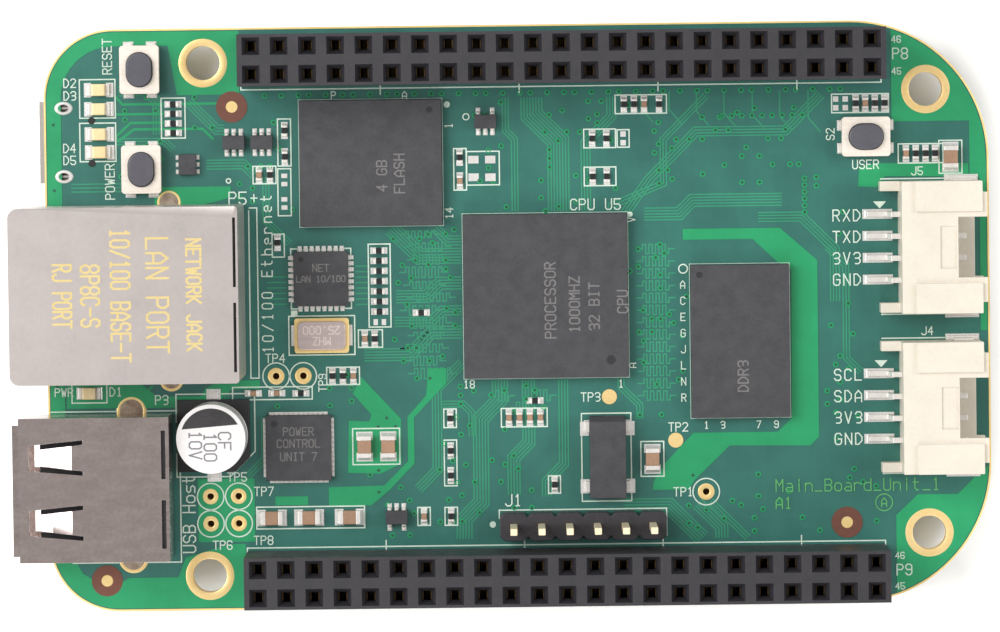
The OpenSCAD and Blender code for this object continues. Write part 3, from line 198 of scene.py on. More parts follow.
# The weave of the glass cloth shows faintly through the mask, and the cut edge shows the laminate
mask, mask_in, mask_out = effect_group("solder_mask", [
    ("Mask", "Color", colour(46, 107, 96)), ("Shade", "Color", colour(41, 97, 88)),
    ("Laminate", "Color", colour(214, 196, 138)), ("Roughness", "Float", 0.3)])
where = mask.nodes.new("ShaderNodeTexCoord").outputs["Object"]
threads = []
for direction in ("X", "Y"):
    wave = mask.nodes.new("ShaderNodeTexWave")
    wave.bands_direction = direction
    wave.inputs["Scale"].default_value = 330.0
    wave.inputs["Distortion"].default_value = 1.5
    mask.links.new(where, wave.inputs["Vector"])
    threads.append(wave.outputs["Fac"])
weave = sum_of(mask, "MULTIPLY", threads[0], threads[1])
patch = noise_at(mask, where, 260.0, 3.0)
cloudy = sum_of(mask, "ADD", sum_of(mask, "MULTIPLY", weave, 0.06), sum_of(mask, "MULTIPLY", patch, 0.94))
painted = blend_of(mask, sharpened(mask, cloudy, 0.3, 0.62), mask_in.outputs["Shade"],
    mask_in.outputs["Mask"])
facing = mask.nodes.new("ShaderNodeSeparateXYZ")
mask.links.new(mask.nodes.new("ShaderNodeNewGeometry").outputs["Normal"], facing.inputs[0])
upright = sum_of(mask, "LESS_THAN", sum_of(mask, "ABSOLUTE", facing.outputs["Z"], 0.0), 0.5)
mask.links.new(blend_of(mask, upright, painted, mask_in.outputs["Laminate"]), mask_out.inputs["Colour"])
dull = sum_of(mask, "MULTIPLY", upright, 0.35)
mask.links.new(sum_of(mask, "ADD", sum_of(mask, "ADD", mask_in.outputs["Roughness"], dull),
    sum_of(mask, "MULTIPLY", patch, 0.08)), mask_out.inputs["Roughness"])
mask.links.new(sum_of(mask, "ADD", weave, noise_at(mask, where, 5000.0, 2.0)), mask_out.inputs["Height"])

bare_mask = finish("solder_mask", mask, {}, bump=0.08, depth=0.00001)
dress(bare_mask, "circuit_board")
board_low, board_high = box_mm("circuit_board")
face = board_high.z
left, right = board_low.x, board_high.x
near, far = board_low.y, board_high.y


# ---- Copper under the mask ----------------------------------------------------------------------
# Etched copper areas and tracks stand a little proud under the mask and show as a brighter green.
# Tracks run straight and turn at 45 degrees, in bundles between the chips and the headers.

def twice_area(outline):
    """Positive when an outline runs anticlockwise."""
    return sum(a[0] * b[1] - b[0] * a[1] for a, b in zip(outline, outline[1:] + outline[:1]))


def prism(outline, z0, z1):
    """A closed solid from an outline of (x, y) points, in millimetres."""
    if twice_area(outline) < 0:
        outline = outline[::-1]
    count = len(outline)
    corners = [(x, y, z0) for x, y in outline] + [(x, y, z1) for x, y in outline]
    faces = [list(range(count - 1, -1, -1)), list(range(count, 2 * count))]
    faces += [[i, (i + 1) % count, count + (i + 1) % count, count + i] for i in range(count)]
    return corners, faces


def turned(loop, x, y, steps=20):
    """A closed solid of revolution about an upright line: loop is a closed list of (radius, z)."""
    count = len(loop)
    corners = [(x + r * math.cos(2 * math.pi * i / steps), y + r * math.sin(2 * math.pi * i / steps), z)
        for i in range(steps) for r, z in loop]
    faces = [[i * count + j, (i + 1) % steps * count + j, (i + 1) % steps * count + (j + 1) % count,
        i * count + (j + 1) % count] for i in range(steps) for j in range(count)]
    return corners, faces


def arc(x, y, radius, start, end, steps=10):
    """Points along an arc, from one angle to another in degrees."""
    return [(x + radius * math.cos(math.radians(start + (end - start) * i / steps)),
        y + radius * math.sin(math.radians(start + (end - start) * i / steps))) for i in range(steps + 1)]


def with_hole(outline, x, y, radius):
    """An outline with a round hole, joined by a slit to the outline's nearest corner."""
    first = min(range(len(outline)), key=lambda i: math.hypot(outline[i][0] - x, outline[i][1] - y))
    start = math.degrees(math.atan2(outline[first][1] - y, outline[first][0] - x))
    sweep = -360 if twice_area(outline) > 0 else 360
    return outline[:first + 1] + arc(x, y, radius, start, start + sweep, 36) + outline[first:]


def beside(path, gap):
    """A path moved sideways by a gap, to its left, with mitred corners."""
    moved = []
    for i, (x, y) in enumerate(path):
        sides = []
        for a, b in ((i - 1, i), (i, i + 1)):
            if a >= 0 and b < len(path):
                dx, dy = path[b][0] - path[a][0], path[b][1] - path[a][1]
                length = math.hypot(dx, dy)
                sides.append((-dy / length, dx / length))
        nx = sum(side[0] for side in sides) / len(sides)
        ny = sum(side[1] for side in sides) / len(sides)
        square = max(nx * nx + ny * ny, 0.2)
        moved.append((x + gap * nx / square, y + gap * ny / square))
    return moved


def ribbon(path, width, z0, z1):
    """A closed flat strip along a path."""
    a, b = beside(path, width / 2), beside(path, -width / 2)
    corners = [(x, y, z) for pair in zip(a, b) for z in (z0, z1) for x, y in pair]
    faces = [[0, 2, 3, 1], [4 * len(path) - 4 + k for k in (0, 1, 3, 2)]]
    for i in range(len(path) - 1):
        s, t = 4 * i, 4 * i + 4
        faces += [[s + 2, t + 2, t + 3, s + 3], [s + 1, t + 1, t, s], [s, t, t + 2, s + 2],
            [s + 3, t + 3, t + 1, s + 1]]
    return corners, faces


def piece(name, solids, material, body="board", smooth=False):
    """Joins closed solids, drawn in millimetres, into one object that moves with a body."""
    corners, faces = [], []
    for points, sides in solids:
        start = len(corners)
        corners += [(x / 1000, y / 1000, z / 1000) for x, y, z in points]
        faces += [[start + i for i in side] for side in sides]
    mesh = bpy.data.meshes.new(name)
    mesh.from_pydata(corners, [], faces)
    mesh.materials.append(material)
    mesh.update()
    made = bpy.data.objects.new(name, mesh)
    bpy.context.scene.collection.objects.link(made)
    if smooth:
        mesh.shade_smooth()
        mesh.set_sharp_from_angle(angle=math.radians(50))
    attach(made, body)
    return made


over_copper = finish("mask_over_copper", mask, {"Mask": colour(34, 150, 97), "Shade": colour(31, 140, 90),
    "Laminate": colour(38, 150, 98), "Roughness": 0.28}, bump=0.08, depth=0.00001)
over_track = finish("mask_over_tracks", mask, {"Mask": colour(50, 140, 106), "Shade": colour(44, 129, 98),
    "Laminate": colour(54, 140, 108), "Roughness": 0.3}, bump=0.08, depth=0.00001)

edge_gap = 0.25
copper_areas = [
    # Band round the jack end of the board, with the ground areas at its two mounting holes
    [(left + edge_gap, near + 6.35), *arc(left + 6.35, near + 6.35, 6.1, 180, 270), (3.3, near + edge_gap),
     (3.3, -20.6), (1.8, -20.6), (-2.2, -21.8), (-2.9, -23.6), (-7.4, -23.6), (-9.2, -24.6), (-11.6, -23.2),
     (-12.3, -22.0), (-13.05, -20.5), (-13.05, 20.3), *arc(left + 6.35, far - 6.35, 4.8, 180, 90),
     (-3.2, far - 1.55), (-2.4, 20.6), (3.3, 20.6), (3.3, far - edge_gap),
     *arc(left + 6.35, far - 6.35, 6.1, 90, 180)],
    # Corner areas at the socket end
    [(62.9, 17.4), *arc(59.05, 13.97, 12.45, 72, 0), (right - edge_gap, -1.8), (70.9, -1.8), (70.9, 12.2),
     (70.0, 12.2), (70.0, 17.4)],
    [(63.0, -18.7), (65.0, -16.8), (68.7, -16.8), (70.3, -15.2), (70.9, -14.8), (right - edge_gap, -14.2),
     *arc(59.05, -13.97, 12.45, -2, -71.5)],
    # Supply area behind the upper side socket
    [(59.8, 11.5), (59.9, 13.2), (61.3, 13.6), (69.9, 13.5), (69.9, 12.3), (62.3, 12.4), (61.5, 11.4)],
    # Supply area round the memory
    [(43.7, 7.8), (52.6, 7.8), (56.0, 4.8), (56.0, -11.4), (55.2, -12.2), (47.8, -12.1), (44.5, -15.3),
     (44.0, -16.1), (40.7, -16.1), (40.8, -15.3), (41.8, -13.7), (44.5, -10.9), (52.2, -10.9), (53.5, -9.7),
     (53.6, 3.9), (52.3, 4.7), (50.1, 6.8), (43.7, 6.8)],
    # Supply areas beside the power controller
    [(14.1, -5.4), (17.7, -9.3), (17.7, -13.4), (15.8, -14.3), (12.8, -14.2), (12.9, -9.4), (14.8, -9.5),
     (15.0, -8.9), (13.3, -6.9)],
    [(11.0, -15.5), (16.1, -15.4), (18.3, -13.2), (18.3, -9.1), (20.0, -7.2), (20.3, -4.7), (21.9, -4.7),
     (21.9, -6.1), (20.7, -7.3), (18.9, -9.2), (18.9, -13.4), (16.6, -15.8), (14.9, -17.2), (11.0, -17.2)],
    [(6.1, -16.3), (9.1, -16.3), (9.1, -17.1), (6.1, -17.1)],
    # Ground beside the test points and the jack's two shield holes
    [(-1.0, -14.6), (4.2, -14.6), (4.2, -20.4), (-1.0, -20.4)],
    [(-4.6, 9.6), (-4.6, 12.2), (-1.4, 12.2), (2.4, 12.2), (2.4, 11.2), (0.9, 10.8)],
    [(-12.9, -5.7), (-6.2, -5.7), (-4.6, -7.0), (-0.6, -7.0), (-0.2, -6.3), (1.3, -5.6), (4.8, -5.6),
     (4.8, -6.4), (2.2, -6.4), (0.4, -8.0), (-12.9, -8.0)],
]
mounting_holes = [(0, 23.495), (0, -23.495), (66.04, 20.32), (66.04, -20.32)]
test_holes = [(0.15, -16.22), (2.73, -16.22), (0.15, -18.72), (2.73, -18.72), (6.31, -5.24), (8.8, -5.24),
    (45.6, -16.32)]
# The copper stops short of the holes: the mounting holes lie in the first three areas, and four
# test holes lie in the ground area beside the test points
band, upper_corner, lower_corner, test_ground = 0, 1, 2, 8
for number, (x, y) in zip((band, band, upper_corner, lower_corner), mounting_holes):
    copper_areas[number] = with_hole(copper_areas[number], x, y, 1.7)
for x, y in test_holes[:4]:
    copper_areas[test_ground] = with_hole(copper_areas[test_ground], x, y, 0.5)
piece("copper_areas", [prism(area, face, face + 0.035 + 0.001 * i) for i, area in enumerate(copper_areas)],
    over_copper)

# The router leaves a narrow rim of bare laminate round the board, where the mask stops short
outer = [*arc(59.055, 13.97, 12.7, 90, 0, 24), *arc(59.055, -13.97, 12.7, 0, -90, 24),
    *arc(left + 6.35, near + 6.35, 6.35, -90, -180, 24), *arc(left + 6.35, far - 6.35, 6.35, 180, 90, 24)]
outer.append(outer[0])
rim = grained("routed_rim", (246, 218, 140), (232, 200, 122), 0.6, scale=3000.0, bump=0.3)
piece("routed_rim", [ribbon(beside(outer, -0.08), 0.16, face, face + 0.012)], rim)


def bundle(path, count, pitch=0.27):
    """Tracks side by side along a path, as (track, track, ...)."""
    return [beside(path, (i - (count - 1) / 2) * pitch) for i in range(count)]


def meander(x, y, runs, reach, pitch=0.3):
    """One track that folds back and forth to gain length."""
    path = [(x - 0.6, y)]
    for i in range(runs):
        swing = reach if i % 2 == 0 else -reach
        path += [(x + i * pitch, y + swing * (0 if i == 0 else -1)), (x + i * pitch, y + swing)]
    return path + [(x + runs * pitch, y - reach * (1 if runs % 2 == 0 else -1)), (x + runs * pitch, y),
        (x + runs * pitch + 0.6, y)]


# Each track stands a hair above the last, so that no two meet in one plane where they cross
track_lift = 0.0012
tracks = []
# From the upper header down to the processor, and the fan of single tracks to its contacts
tracks += bundle([(30.0, 20.0), (30.0, 18.4), (32.4, 16.0), (32.4, 9.6)], 8)
tracks += bundle([(27.6, 20.0), (27.6, 17.0), (28.4, 16.2), (28.4, 9.6)], 3)
tracks += bundle([(37.3, 20.0), (37.3, 18.2), (34.9, 15.8), (34.9, 9.6)], 4)
tracks += bundle([(46.0, 20.0), (42.0, 16.0), (42.0, 12.0), (37.2, 10.0), (37.2, 9.6)], 3)
tracks += bundle([(56.5, 20.0), (53.2, 16.7), (45.0, 16.7), (40.6, 12.3), (38.4, 9.2)], 4)
for x in (40.0, 42.6, 45.1, 47.6, 50.2, 52.7, 55.3):
    tracks += bundle([(x, 20.4), (x, 18.9 - (x - 40) * 0.07), (x + 1.1, 17.6 - (x - 40) * 0.07)], 1)
# From the storage chip and the network chip across to the processor
tracks += bundle([(17.0, 8.2), (19.6, 5.6), (23.4, 5.6)], 6)
tracks += bundle([(21.0, 8.2), (22.2, 7.0), (23.4, 7.0)], 4)
tracks += bundle([(17.4, 1.9), (20.2, 1.9), (21.4, 3.1), (23.4, 3.1)], 5)
tracks += bundle([(17.2, -0.4), (20.6, -0.4), (21.6, 0.6), (23.4, 0.6)], 4)
tracks += bundle([(14.4, -3.4), (18.6, -3.4), (20.6, -1.4), (23.4, -1.4)], 5)
tracks += bundle([(7.7, 6.9), (5.6, 9.0), (5.6, 13.0)], 3)
tracks += bundle([(5.6, 2.6), (7.4, 2.6)], 6, 0.5)
tracks += bundle([(13.7, 3.0), (15.0, 3.0)], 8, 0.5)
# From the processor down to the lower header and the debug header
tracks += bundle([(26.8, -5.8), (26.8, -7.6), (25.0, -9.4), (25.0, -17.0), (23.4, -18.6), (23.4, -20.4)], 6)
tracks += bundle([(29.4, -5.8), (29.4, -11.6), (28.0, -13.0), (28.0, -16.4)], 5)
tracks += bundle([(32.6, -5.8), (32.6, -13.6), (31.0, -15.2), (31.0, -16.6)], 4)
tracks += bundle([(37.9, -5.8), (37.9, -6.6), (39.6, -8.3), (39.6, -9.6)], 3)
tracks += bundle([(21.4, -8.0), (23.4, -8.0), (24.2, -8.8), (24.2, -11.0)], 3)
tracks += bundle([(19.2, -15.8), (21.0, -14.0), (21.0, -6.6), (23.4, -4.2)], 4)
# The diagonal bundle to the lower header's far end, and the tracks under the memory
tracks += bundle([(38.0, -17.6), (42.2, -17.6), (45.2, -20.6)], 6)
tracks += bundle([(44.8, -17.4), (47.0, -19.6), (47.0, -20.6)], 5)
tracks += bundle([(49.4, -20.6), (48.4, -19.6), (46.0, -17.2)], 3)
tracks += bundle([(56.9, 6.0), (58.6, 4.3), (58.6, -4.2), (59.9, -5.5)], 3)
tracks += bundle([(50.6, 8.8), (54.6, 8.8), (57.6, 5.8), (57.6, 1.0)], 4)
tracks += bundle([(40.2, 9.2), (43.4, 9.2), (44.6, 10.4), (52.8, 10.4)], 5)
# Left-hand side: buttons, lights and the two ports
tracks += bundle([(-7.8, 21.0), (-5.2, 21.0), (-4.2, 20.0), (-4.2, 17.0)], 4)
tracks += bundle([(-1.4, 20.0), (1.2, 17.4), (1.9, 17.4)], 4)
tracks += bundle([(-8.0, 16.4), (-3.6, 16.4), (-2.8, 15.6)], 3)
tracks += bundle([(0.2, 14.2), (3.6, 14.2), (4.6, 13.2)], 4)
tracks += bundle([(-1.6, -4.0), (1.6, -6.4), (1.6, -7.6)], 3)
tracks += bundle([(3.6, -14.4), (5.2, -12.8), (5.2, -9.0)], 3)
tracks += bundle([(-12.2, 12.2), (-7.6, 12.2)], 3, 0.35)
# Length-matched tracks on both sides of the processor
for row in range(13):
    tracks.append(meander(40.0, 6.0 - row * 1.12, 8, 0.42))
for row in range(12):
    tracks.append(meander(18.3 + row % 3 * 0.35, 7.6 - row * 1.16, 9 + row % 2 * 2, 0.3 + row % 4 * 0.06))
tracks += [meander(26.4 + i * 1.9, -7.3 - i % 2 * 1.1, 4, 0.5) for i in range(3)]
piece("copper_tracks", [ribbon(path, 0.13, face, face + 0.006 + track_lift * (i % 23))
    for i, path in enumerate(tracks)], over_track)
lamp_tracks = [[(-8.0, 20.5), (-7.4, 19.8), (-3.6, 19.8)], [(-8.1, 18.9), (-3.6, 18.9)],
    [(-8.1, 16.8), (-6.7, 18.1), (-3.6, 18.1)], [(-7.9, 16.4), (-6.4, 17.5), (-0.1, 17.5), (0.9, 16.5)],
    [(-2.0, 19.8), (1.4, 19.8)], [(-12.9, -5.0), (-11.6, -6.3)], [(-7.6, -6.6), (-5.6, -6.6), (-5.0, -6.0)]]
piece("lamp_tracks", [ribbon(path, 0.22, face, face + 0.03) for path in lamp_tracks], over_copper)
# The underside has its own tracks, between the two headers' tails
under_tracks = [[(x, -y) for x, y in path] for path in tracks[::2]]
under_tracks += bundle([(8.0, -9.0), (20.0, -9.0), (26.0, -3.0), (44.0, -3.0), (50.0, 3.0), (56.0, 3.0)],
    12, 0.4)
under_tracks += bundle([(6.0, 16.0), (30.0, 16.0), (36.0, 10.0), (58.0, 10.0)], 10, 0.4)
piece("under_tracks", [ribbon(path, 0.14, -0.006 - track_lift * (i % 29), 0)
    for i, path in enumerate(under_tracks)], over_track)


# ---- Plated holes and contact pads --------------------------------------------------------------
# Gold-flashed copper rings at the mounting holes, test points and shield tabs, each with its barrel.
# Vias are the same holes under the mask, so they show as green rings with a dark middle.

gold = grained("gold_flash", (250, 222, 158), (240, 206, 136), 0.36, scale=2500.0, metallic=0.5, bump=0.1)
# Dark brown for painted shade inside the small holes
painted_hole_shade = grained("painted_hole_shade", (58, 40, 30), (44, 32, 26), 0.7, bump=0.1)
fibre_ring = grained("bare_laminate", (112, 66, 50), (98, 58, 44), 0.5, scale=1800.0, bump=0.15)


def plated_hole(x, y, hole, pad):
    """A plated ring on the board's top, its barrel, and a ring below."""
    rise = 0.05
    loop = [(hole - 0.03, -0.03), (pad - 0.05, -0.03), (pad, 0.0), (hole, 0.0), (hole, face), (pad, face),
        (pad, face + rise * 0.6), (pad - 0.08, face + rise), (hole + 0.05, face + rise),
        (hole - 0.03, face + rise * 0.5)]
    return turned(loop, x, y, 48)


shield_holes = [(-3.27, 10.8, 0.85, 1.12), (-3.27, -5.4, 0.85, 1.12), (-6.98, -8.3, 1.05, 1.37),
    (-6.98, -21.8, 1.05, 1.37)]
mounting_r, mounting_ring_r = 1.5875, 2.24
test_r, test_ring_r = 0.34, 0.76
rings = [plated_hole(x, y, mounting_r, mounting_ring_r) for x, y in mounting_holes]
rings += [plated_hole(x, y, test_r, test_ring_r) for x, y in test_holes]
rings += [plated_hole(*hole) for hole in shield_holes]
piece("plated_rings", rings, gold, smooth=True)
tab_solder = grained("tab_solder", (190, 176, 158), (112, 84, 60), 0.3, scale=1500.0, metallic=0.4, bump=0.4)
piece("tab_solder", [prism(arc(x, y, hole + 0.01, 0, 350, 35), face - 0.02, face + 0.047)
    for x, y, hole, _ in shield_holes], tab_solder)
# Dark discs down in the test holes: painted shade inside the holes
piece("test_hole_painted_shade", [prism(arc(x, y, 0.35, 0, 345, 23), 0.02, 0.5) for x, y in test_holes], painted_hole_shade)

fiducials = [(2.58, 19.46), (-9.44, -23.85), (58.49, -19.29)]
ring_face = face + 0.042
piece("fiducial_rings", [turned([(0.5, face), (1.43, face), (1.43, ring_face), (0.5, ring_face)], x, y, 40)
    for x, y in fiducials], fibre_ring)
gold_discs = [(x, y, 0.53) for x, y in fiducials] + [(36.82, -7.5, 0.69), (42.86, -11.56, 0.69)]
piece("gold_test_discs", [prism(arc(x, y, r, 0, 345, 23), face, face + 0.06) for x, y, r in gold_discs],
    gold)

rng = random.Random(7)
via_places = []
via_grid = 0.4
for x0, x1, y0, y1, count in ((40.5, 56.5, 11.4, 19.4, 46), (43.8, 62.0, -20.2, -14.2, 30),
        (17.2, 23.0, -6.0, 8.0, 34), (38.9, 43.9, -9.5, 7.4, 34), (22.6, 31.0, -19.6, -6.2, 34),
        (56.6, 59.6, -12.0, 11.0, 16), (-8.0, 2.2, 11.9, 20.6, 16), (3.0, 8.0, 8.2, 19.4, 14),
        (24.0, 39.0, 9.7, 20.0, 40), (14.6, 22.6, -20.4, -8.0, 22), (3.6, 14.0, -8.2, -4.6, 10)):
    for _ in range(count):
        place = tuple(round(rng.uniform(a, b) / via_grid) * via_grid for a, b in ((x0, x1), (y0, y1)))
        clear_of_vias = all(math.dist(place, other) > 0.6 for other in via_places)
        if clear_of_vias and all(math.dist(place, hole) > 1.3 for hole in test_holes):
            via_places.append(place)
for x in range(9):
    via_places.append((47.4 + x * 0.92, 18.1))
for y in range(6):
    via_places += [(54.9, 9.2 + y * 0.62), (-13.75, 18.0 - y * 6.0)]
for x in range(40):
    via_places.append((5.6 + x * 1.35 + (x * 7 % 3) * 0.2, 20.45))
piece("via_rings", [turned([(0.13, face), (0.28, face), (0.24, face + 0.05), (0.15, face + 0.05)], x, y, 14)
    for x, y in via_places], over_copper)
piece("via_middles", [prism(arc(x, y, 0.14, 0, 330, 11), face, face + 0.042) for x, y in via_places],
    grained("via_plug", (30, 84, 66), (24, 72, 56), 0.5, bump=0.1))
# The two locating holes are drawn as near-black discs on the face: painted shade for the open holes
locating_hole_painted_shade = grained("locating_hole_painted_shade", (24, 28, 27), (18, 21, 20), 0.6, bump=0.1)
piece("locating_hole_shade_discs", [prism(arc(x, y, 0.33, 0, 345, 23), face, face + 0.06) for x, y in
    ((-10.25, 18.35), (-10.26, 14.45))], locating_hole_painted_shade)


# ---- Printed legend -----------------------------------------------------------------------------
# White epoxy ink screened over the mask: part outlines, pin marks and plain stroke lettering.

# Each letter is drawn with a pen on a grid 4 wide and 6 high; each pair of digits is one point
STROKES = {
    "A": "0004264440 0242", "B": "0006 063645443303 3342413000", "C": "4536160501103041",
    "D": "0006 062644422000", "E": "46060040 0333", "F": "460600 0333",
    "G": "45361605011030414323", "H": "0006 4046 0343", "I": "1636 2620 1030",
    "J": "0110304146", "K": "0006 4602 1340", "L": "060040", "M": "0006234640", "N": "00064046",
    "O": "20100105163645413020", "P": "0006 063645443303", "Q": "20100105163645413020 2240",
    "R": "0006 063645443303 2340", "S": "453616050413334241301001", "T": "0646 2620", "U": "060110304146",
    "V": "062046", "W": "0610243046", "X": "0046 0640", "Y": "062346 2320", "Z": "06460040",
    "0": "20100105163645413020", "1": "152620 1030", "2": "05163645440040", "3": "05163645443313 3342413010",
    "4": "3036 360242", "5": "460603334241301001", "6": "45361605011030414233 3303", "7": "064610",
    "8": "23130405163645443323 1302011030414233", "9": "01103041453616050413 1343", "/": "0046", "-": "0343",
    "_": "0040", "+": "0343 2125", ".": "2021", "t": "16112030 0434", "h": "0006 0314344340",
    "e": "02424334140301 011030", "r": "0004 03143443", "n": "0004 0314344340", "o": "20100103143443413020",
    "s": "4414031232413000", "i": "2024 2526", "l": "2620", "a": "14344340 4010011242",
    "d": "4640 401001031444",
}


def pen_runs(points, cap):
    """Splits a stroke where it turns back sharply, and squares off its ends."""
    runs, run = [], points[:1]
    for i in range(1, len(points)):
        run.append(points[i])
        if i + 1 < len(points):
            (ax, ay), (bx, by), (cx, cy) = points[i - 1:i + 2]
            lengths = math.dist(points[i - 1], points[i]) * math.dist(points[i], points[i + 1])
            if (bx - ax) * (cx - bx) + (by - ay) * (cy - by) < -0.2 * lengths:
                runs.append(run)
                run = [points[i]]
    runs.append(run)
    for run in runs:
        if run[0] != run[-1]:
            for end, beside_end in ((0, 1), (-1, -2)):
                reach = math.dist(run[end], run[beside_end])
                run[end] = tuple(a + (a - b) / reach * cap for a, b in zip(run[end], run[beside_end]))
    return runs


def lettering(text, x, y, size, z, turn=0.0, pen=0.15, rise=0.02, narrow=0.86, spacing=1.0):
    """Stroke letters about a middle point, turned by an angle in degrees."""
    unit = size / 6
    step = 5.8 * unit * narrow * spacing
    start = -(len(text) * step - 1.8 * unit * narrow) / 2
    c, s = math.cos(math.radians(turn)), math.sin(math.radians(turn))
    made = []
    for i, letter in enumerate(text):
        for stroke in STROKES.get(letter, "").split():
            points = [(start + i * step + int(stroke[k]) * unit * narrow, (int(stroke[k + 1]) - 3) * unit)
                for k in range(0, len(stroke) - 1, 2)]
            points = [(x + px * c - py * s, y + px * s + py * c) for px, py in points]
            for run in pen_runs(points, pen / 2):
                lift = 0.0015 * (len(made) % 4)
                made.append(ribbon(run, pen, z, z + rise + lift))
    return made


ink = grained("legend_ink", (206, 222, 208), (188, 208, 194), 0.6, scale=6000.0, bump=0.2)
ink_z = face + 0.036
words = [
    ("RESET", -8.75, 24.2, 0.85, 90), ("POWER", -8.65, 12.75, 0.85, 90), ("D2", -12.2, 21.8, 0.8, 0),
    ("D3", -12.2, 20.65, 0.8, 0), ("D4", -12.3, 15.85, 0.8, 0), ("D5", -12.3, 14.75, 0.8, 0),
    ("P5", 3.0, 11.1, 1.15, 0), ("+", 4.5, 11.1, 1.0, 0), ("10/100 Ethernet", 5.6, 4.3, 1.0, 90),
    ("PWR", -13.15, -6.5, 0.75, 0),
    ("D1", -8.4, -6.5, 0.8, 0), ("P3", -4.2, -7.3, 0.85, 0), ("USB Host", -1.85, -17.8, 1.15, 90),
    ("TP5", 2.6, -14.45, 0.8, 0), ("TP7", 5.05, -15.8, 0.8, 0), ("TP6", 1.2, -20.7, 0.8, 0),
    ("TP8", 4.95, -20.3, 0.8, 0), ("TP4", 6.25, -3.6, 0.8, 0), ("TP9", 10.55, -5.9, 0.72, 90),
    ("P", 11.9, 20.4, 0.7, 0), ("A", 18.4, 20.35, 0.7, 0), ("1", 22.4, 17.5, 0.7, 90),
    ("14", 22.35, 9.5, 0.7, 90),
    ("V", 39.0, 8.7, 0.7, 90), ("A", 38.95, -4.65, 0.7, 90), ("18", 24.0, -6.2, 0.7, 0),
    ("1", 37.9, -6.3, 0.7, 0),
    ("CPU U5", 35.75, 10.15, 1.0, 0), ("TP3", 35.1, -7.5, 0.8, 0), ("TP2", 43.1, -10.35, 0.8, 0),
    ("TP1", 43.5, -16.3, 0.8, 0), ("J1", 27.9, -16.9, 1.05, 0), ("J5", 65.2, 12.85, 0.75, 0),
    ("J4", 66.0, -1.8, 0.75, 0), ("S2", 57.3, 16.3, 0.75, 90), ("USER", 60.5, 13.5, 0.8, 0),
    ("P8", 63.75, 23.6, 1.0, 0), ("46", 63.4, 24.9, 0.6, 0), ("45", 63.4, 22.0, 0.6, 0),
    ("P9", 63.7, -23.7, 1.0, 0), ("46", 63.3, -22.4, 0.6, 0), ("45", 63.3, -25.2, 0.6, 0),
]
for x, letter in ((45.7, "1"), (47.2, "3"), (50.5, "7"), (52.1, "9")):
    words.append((letter, x, -10.2, 0.65, 0))
for i, letter in enumerate("ACEGJLNR"):
    words.append((letter, 43.65, 2.7 - i * 1.48, 0.7, 0))
for i, word in enumerate(("RXD", "TXD", "3V3", "GND")):
    words.append((word, 58.75, 8.85 - i * 1.96, 1.05, 0))
for i, word in enumerate(("SCL", "SDA", "3V3", "GND")):
    words.append((word, 58.75, -5.75 - i * 1.96, 1.05, 0))
legend = []
for word, x, y, size, turn in words:
    # The long line beside the jack and the words at the side sockets are spaced wider
    narrow, spacing = (0.78, 1.37) if len(word) > 9 else (0.86, 1.12 if x > 58.5 and size > 1.03 else 1.0)
    legend += lettering(word, x, y, size * 0.96, ink_z, turn, 0.055 + 0.06 * size, 0.02, narrow, spacing)
piece("legend_lettering", legend, ink)
name_copper = grained("name_copper", (92, 172, 104), (82, 160, 96), 0.4)
board_name = lettering("Main_Board_Unit_1", 59.5, -15.85, 1.08, ink_z, pen=0.11)
board_name += lettering("A1", 52.7, -17.45, 1.0, ink_z, pen=0.12)
badge_x, badge_y = 61.9, -17.5
board_name += lettering("A", badge_x, badge_y, 0.8, ink_z, pen=0.1)
board_name.append(turned([(0.72, ink_z), (0.82, ink_z), (0.82, ink_z + 0.02), (0.72, ink_z + 0.02)],
    badge_x, badge_y, 32))
piece("board_name", board_name, name_copper)


def frame_of(x, y, wide, high):
    """A closed rectangle as a path about its middle."""
    return [(x, y - high / 2), (x + wide / 2, y - high / 2), (x + wide / 2, y + high / 2),
        (x - wide / 2, y + high / 2), (x - wide / 2, y - high / 2), (x, y - high / 2)]


outlines = [frame_of(*box) for box in (
    (-9.69, 20.35, 3.25, 3.52), (-9.7, 16.37, 3.28, 3.51), (-2.78, 18.5, 2.18, 3.66),
    (10.55, -1.55, 6.03, 3.57),
    (36.5, -13.04, 4.53, 8.06), (25.5, 13.58, 2.99, 3.07), (-10.82, -6.62, 3.2, 1.75),
    (40.7, -13.25, 2.1, 3.2),
    (15.4, -11.8, 4.3, 3.3), (9.3, -18.25, 9.9, 2.0), (68.27, 14.1, 2.1, 3.0), (65.55, 14.45, 4.1, 1.75),
    (60.05, 19.1, 5.2, 1.7), (40.0, 19.26, 4.7, 1.7), (36.2, 16.17, 2.9, 1.7), (36.2, 12.7, 2.9, 1.7),
    (29.0, -9.31, 4.2, 1.7), (15.9, 2.95, 2.0, 7.6), (5.95, -6.8, 7.3, 1.15), (12.45, -5.29, 3.0, 1.6),
    (22.2, -9.3, 1.15, 1.7), (22.2, -13.4, 1.15, 4.2), (31.7, -15.5, 1.1, 1.6), (7.35, 16.15, 1.2, 4.3),
    (5.5, 13.2, 2.1, 1.6), (15.0, -1.9, 2.2, 1.6), (23.4, 13.5, 1.15, 3.8), (19.7, -18.28, 1.15, 1.65),
    (22.2, -18.3, 1.15, 1.65), (7.31, 11.6, 1.2, 4.3))]
outlines += [[(-14.4, -8.3), (-2.6, -8.3), (-2.6, -22.2), (-12.6, -22.2)],
    [(4.0, 10.2), (4.75, 10.2), (4.75, -5.4), (4.0, -5.4), (4.0, 10.0)],
    [(26.6, -18.6), (26.6, -17.8), (41.95, -17.8), (41.95, -20.3)],
    [(-2.9, -9.4), (-2.9, -6.8), (0.2, -6.8)],
    [(-2.9, -12.2), (-2.9, -14.4), (2.0, -14.4), (4.3, -12.1), (4.3, -6.8), (0.9, -6.8)]]
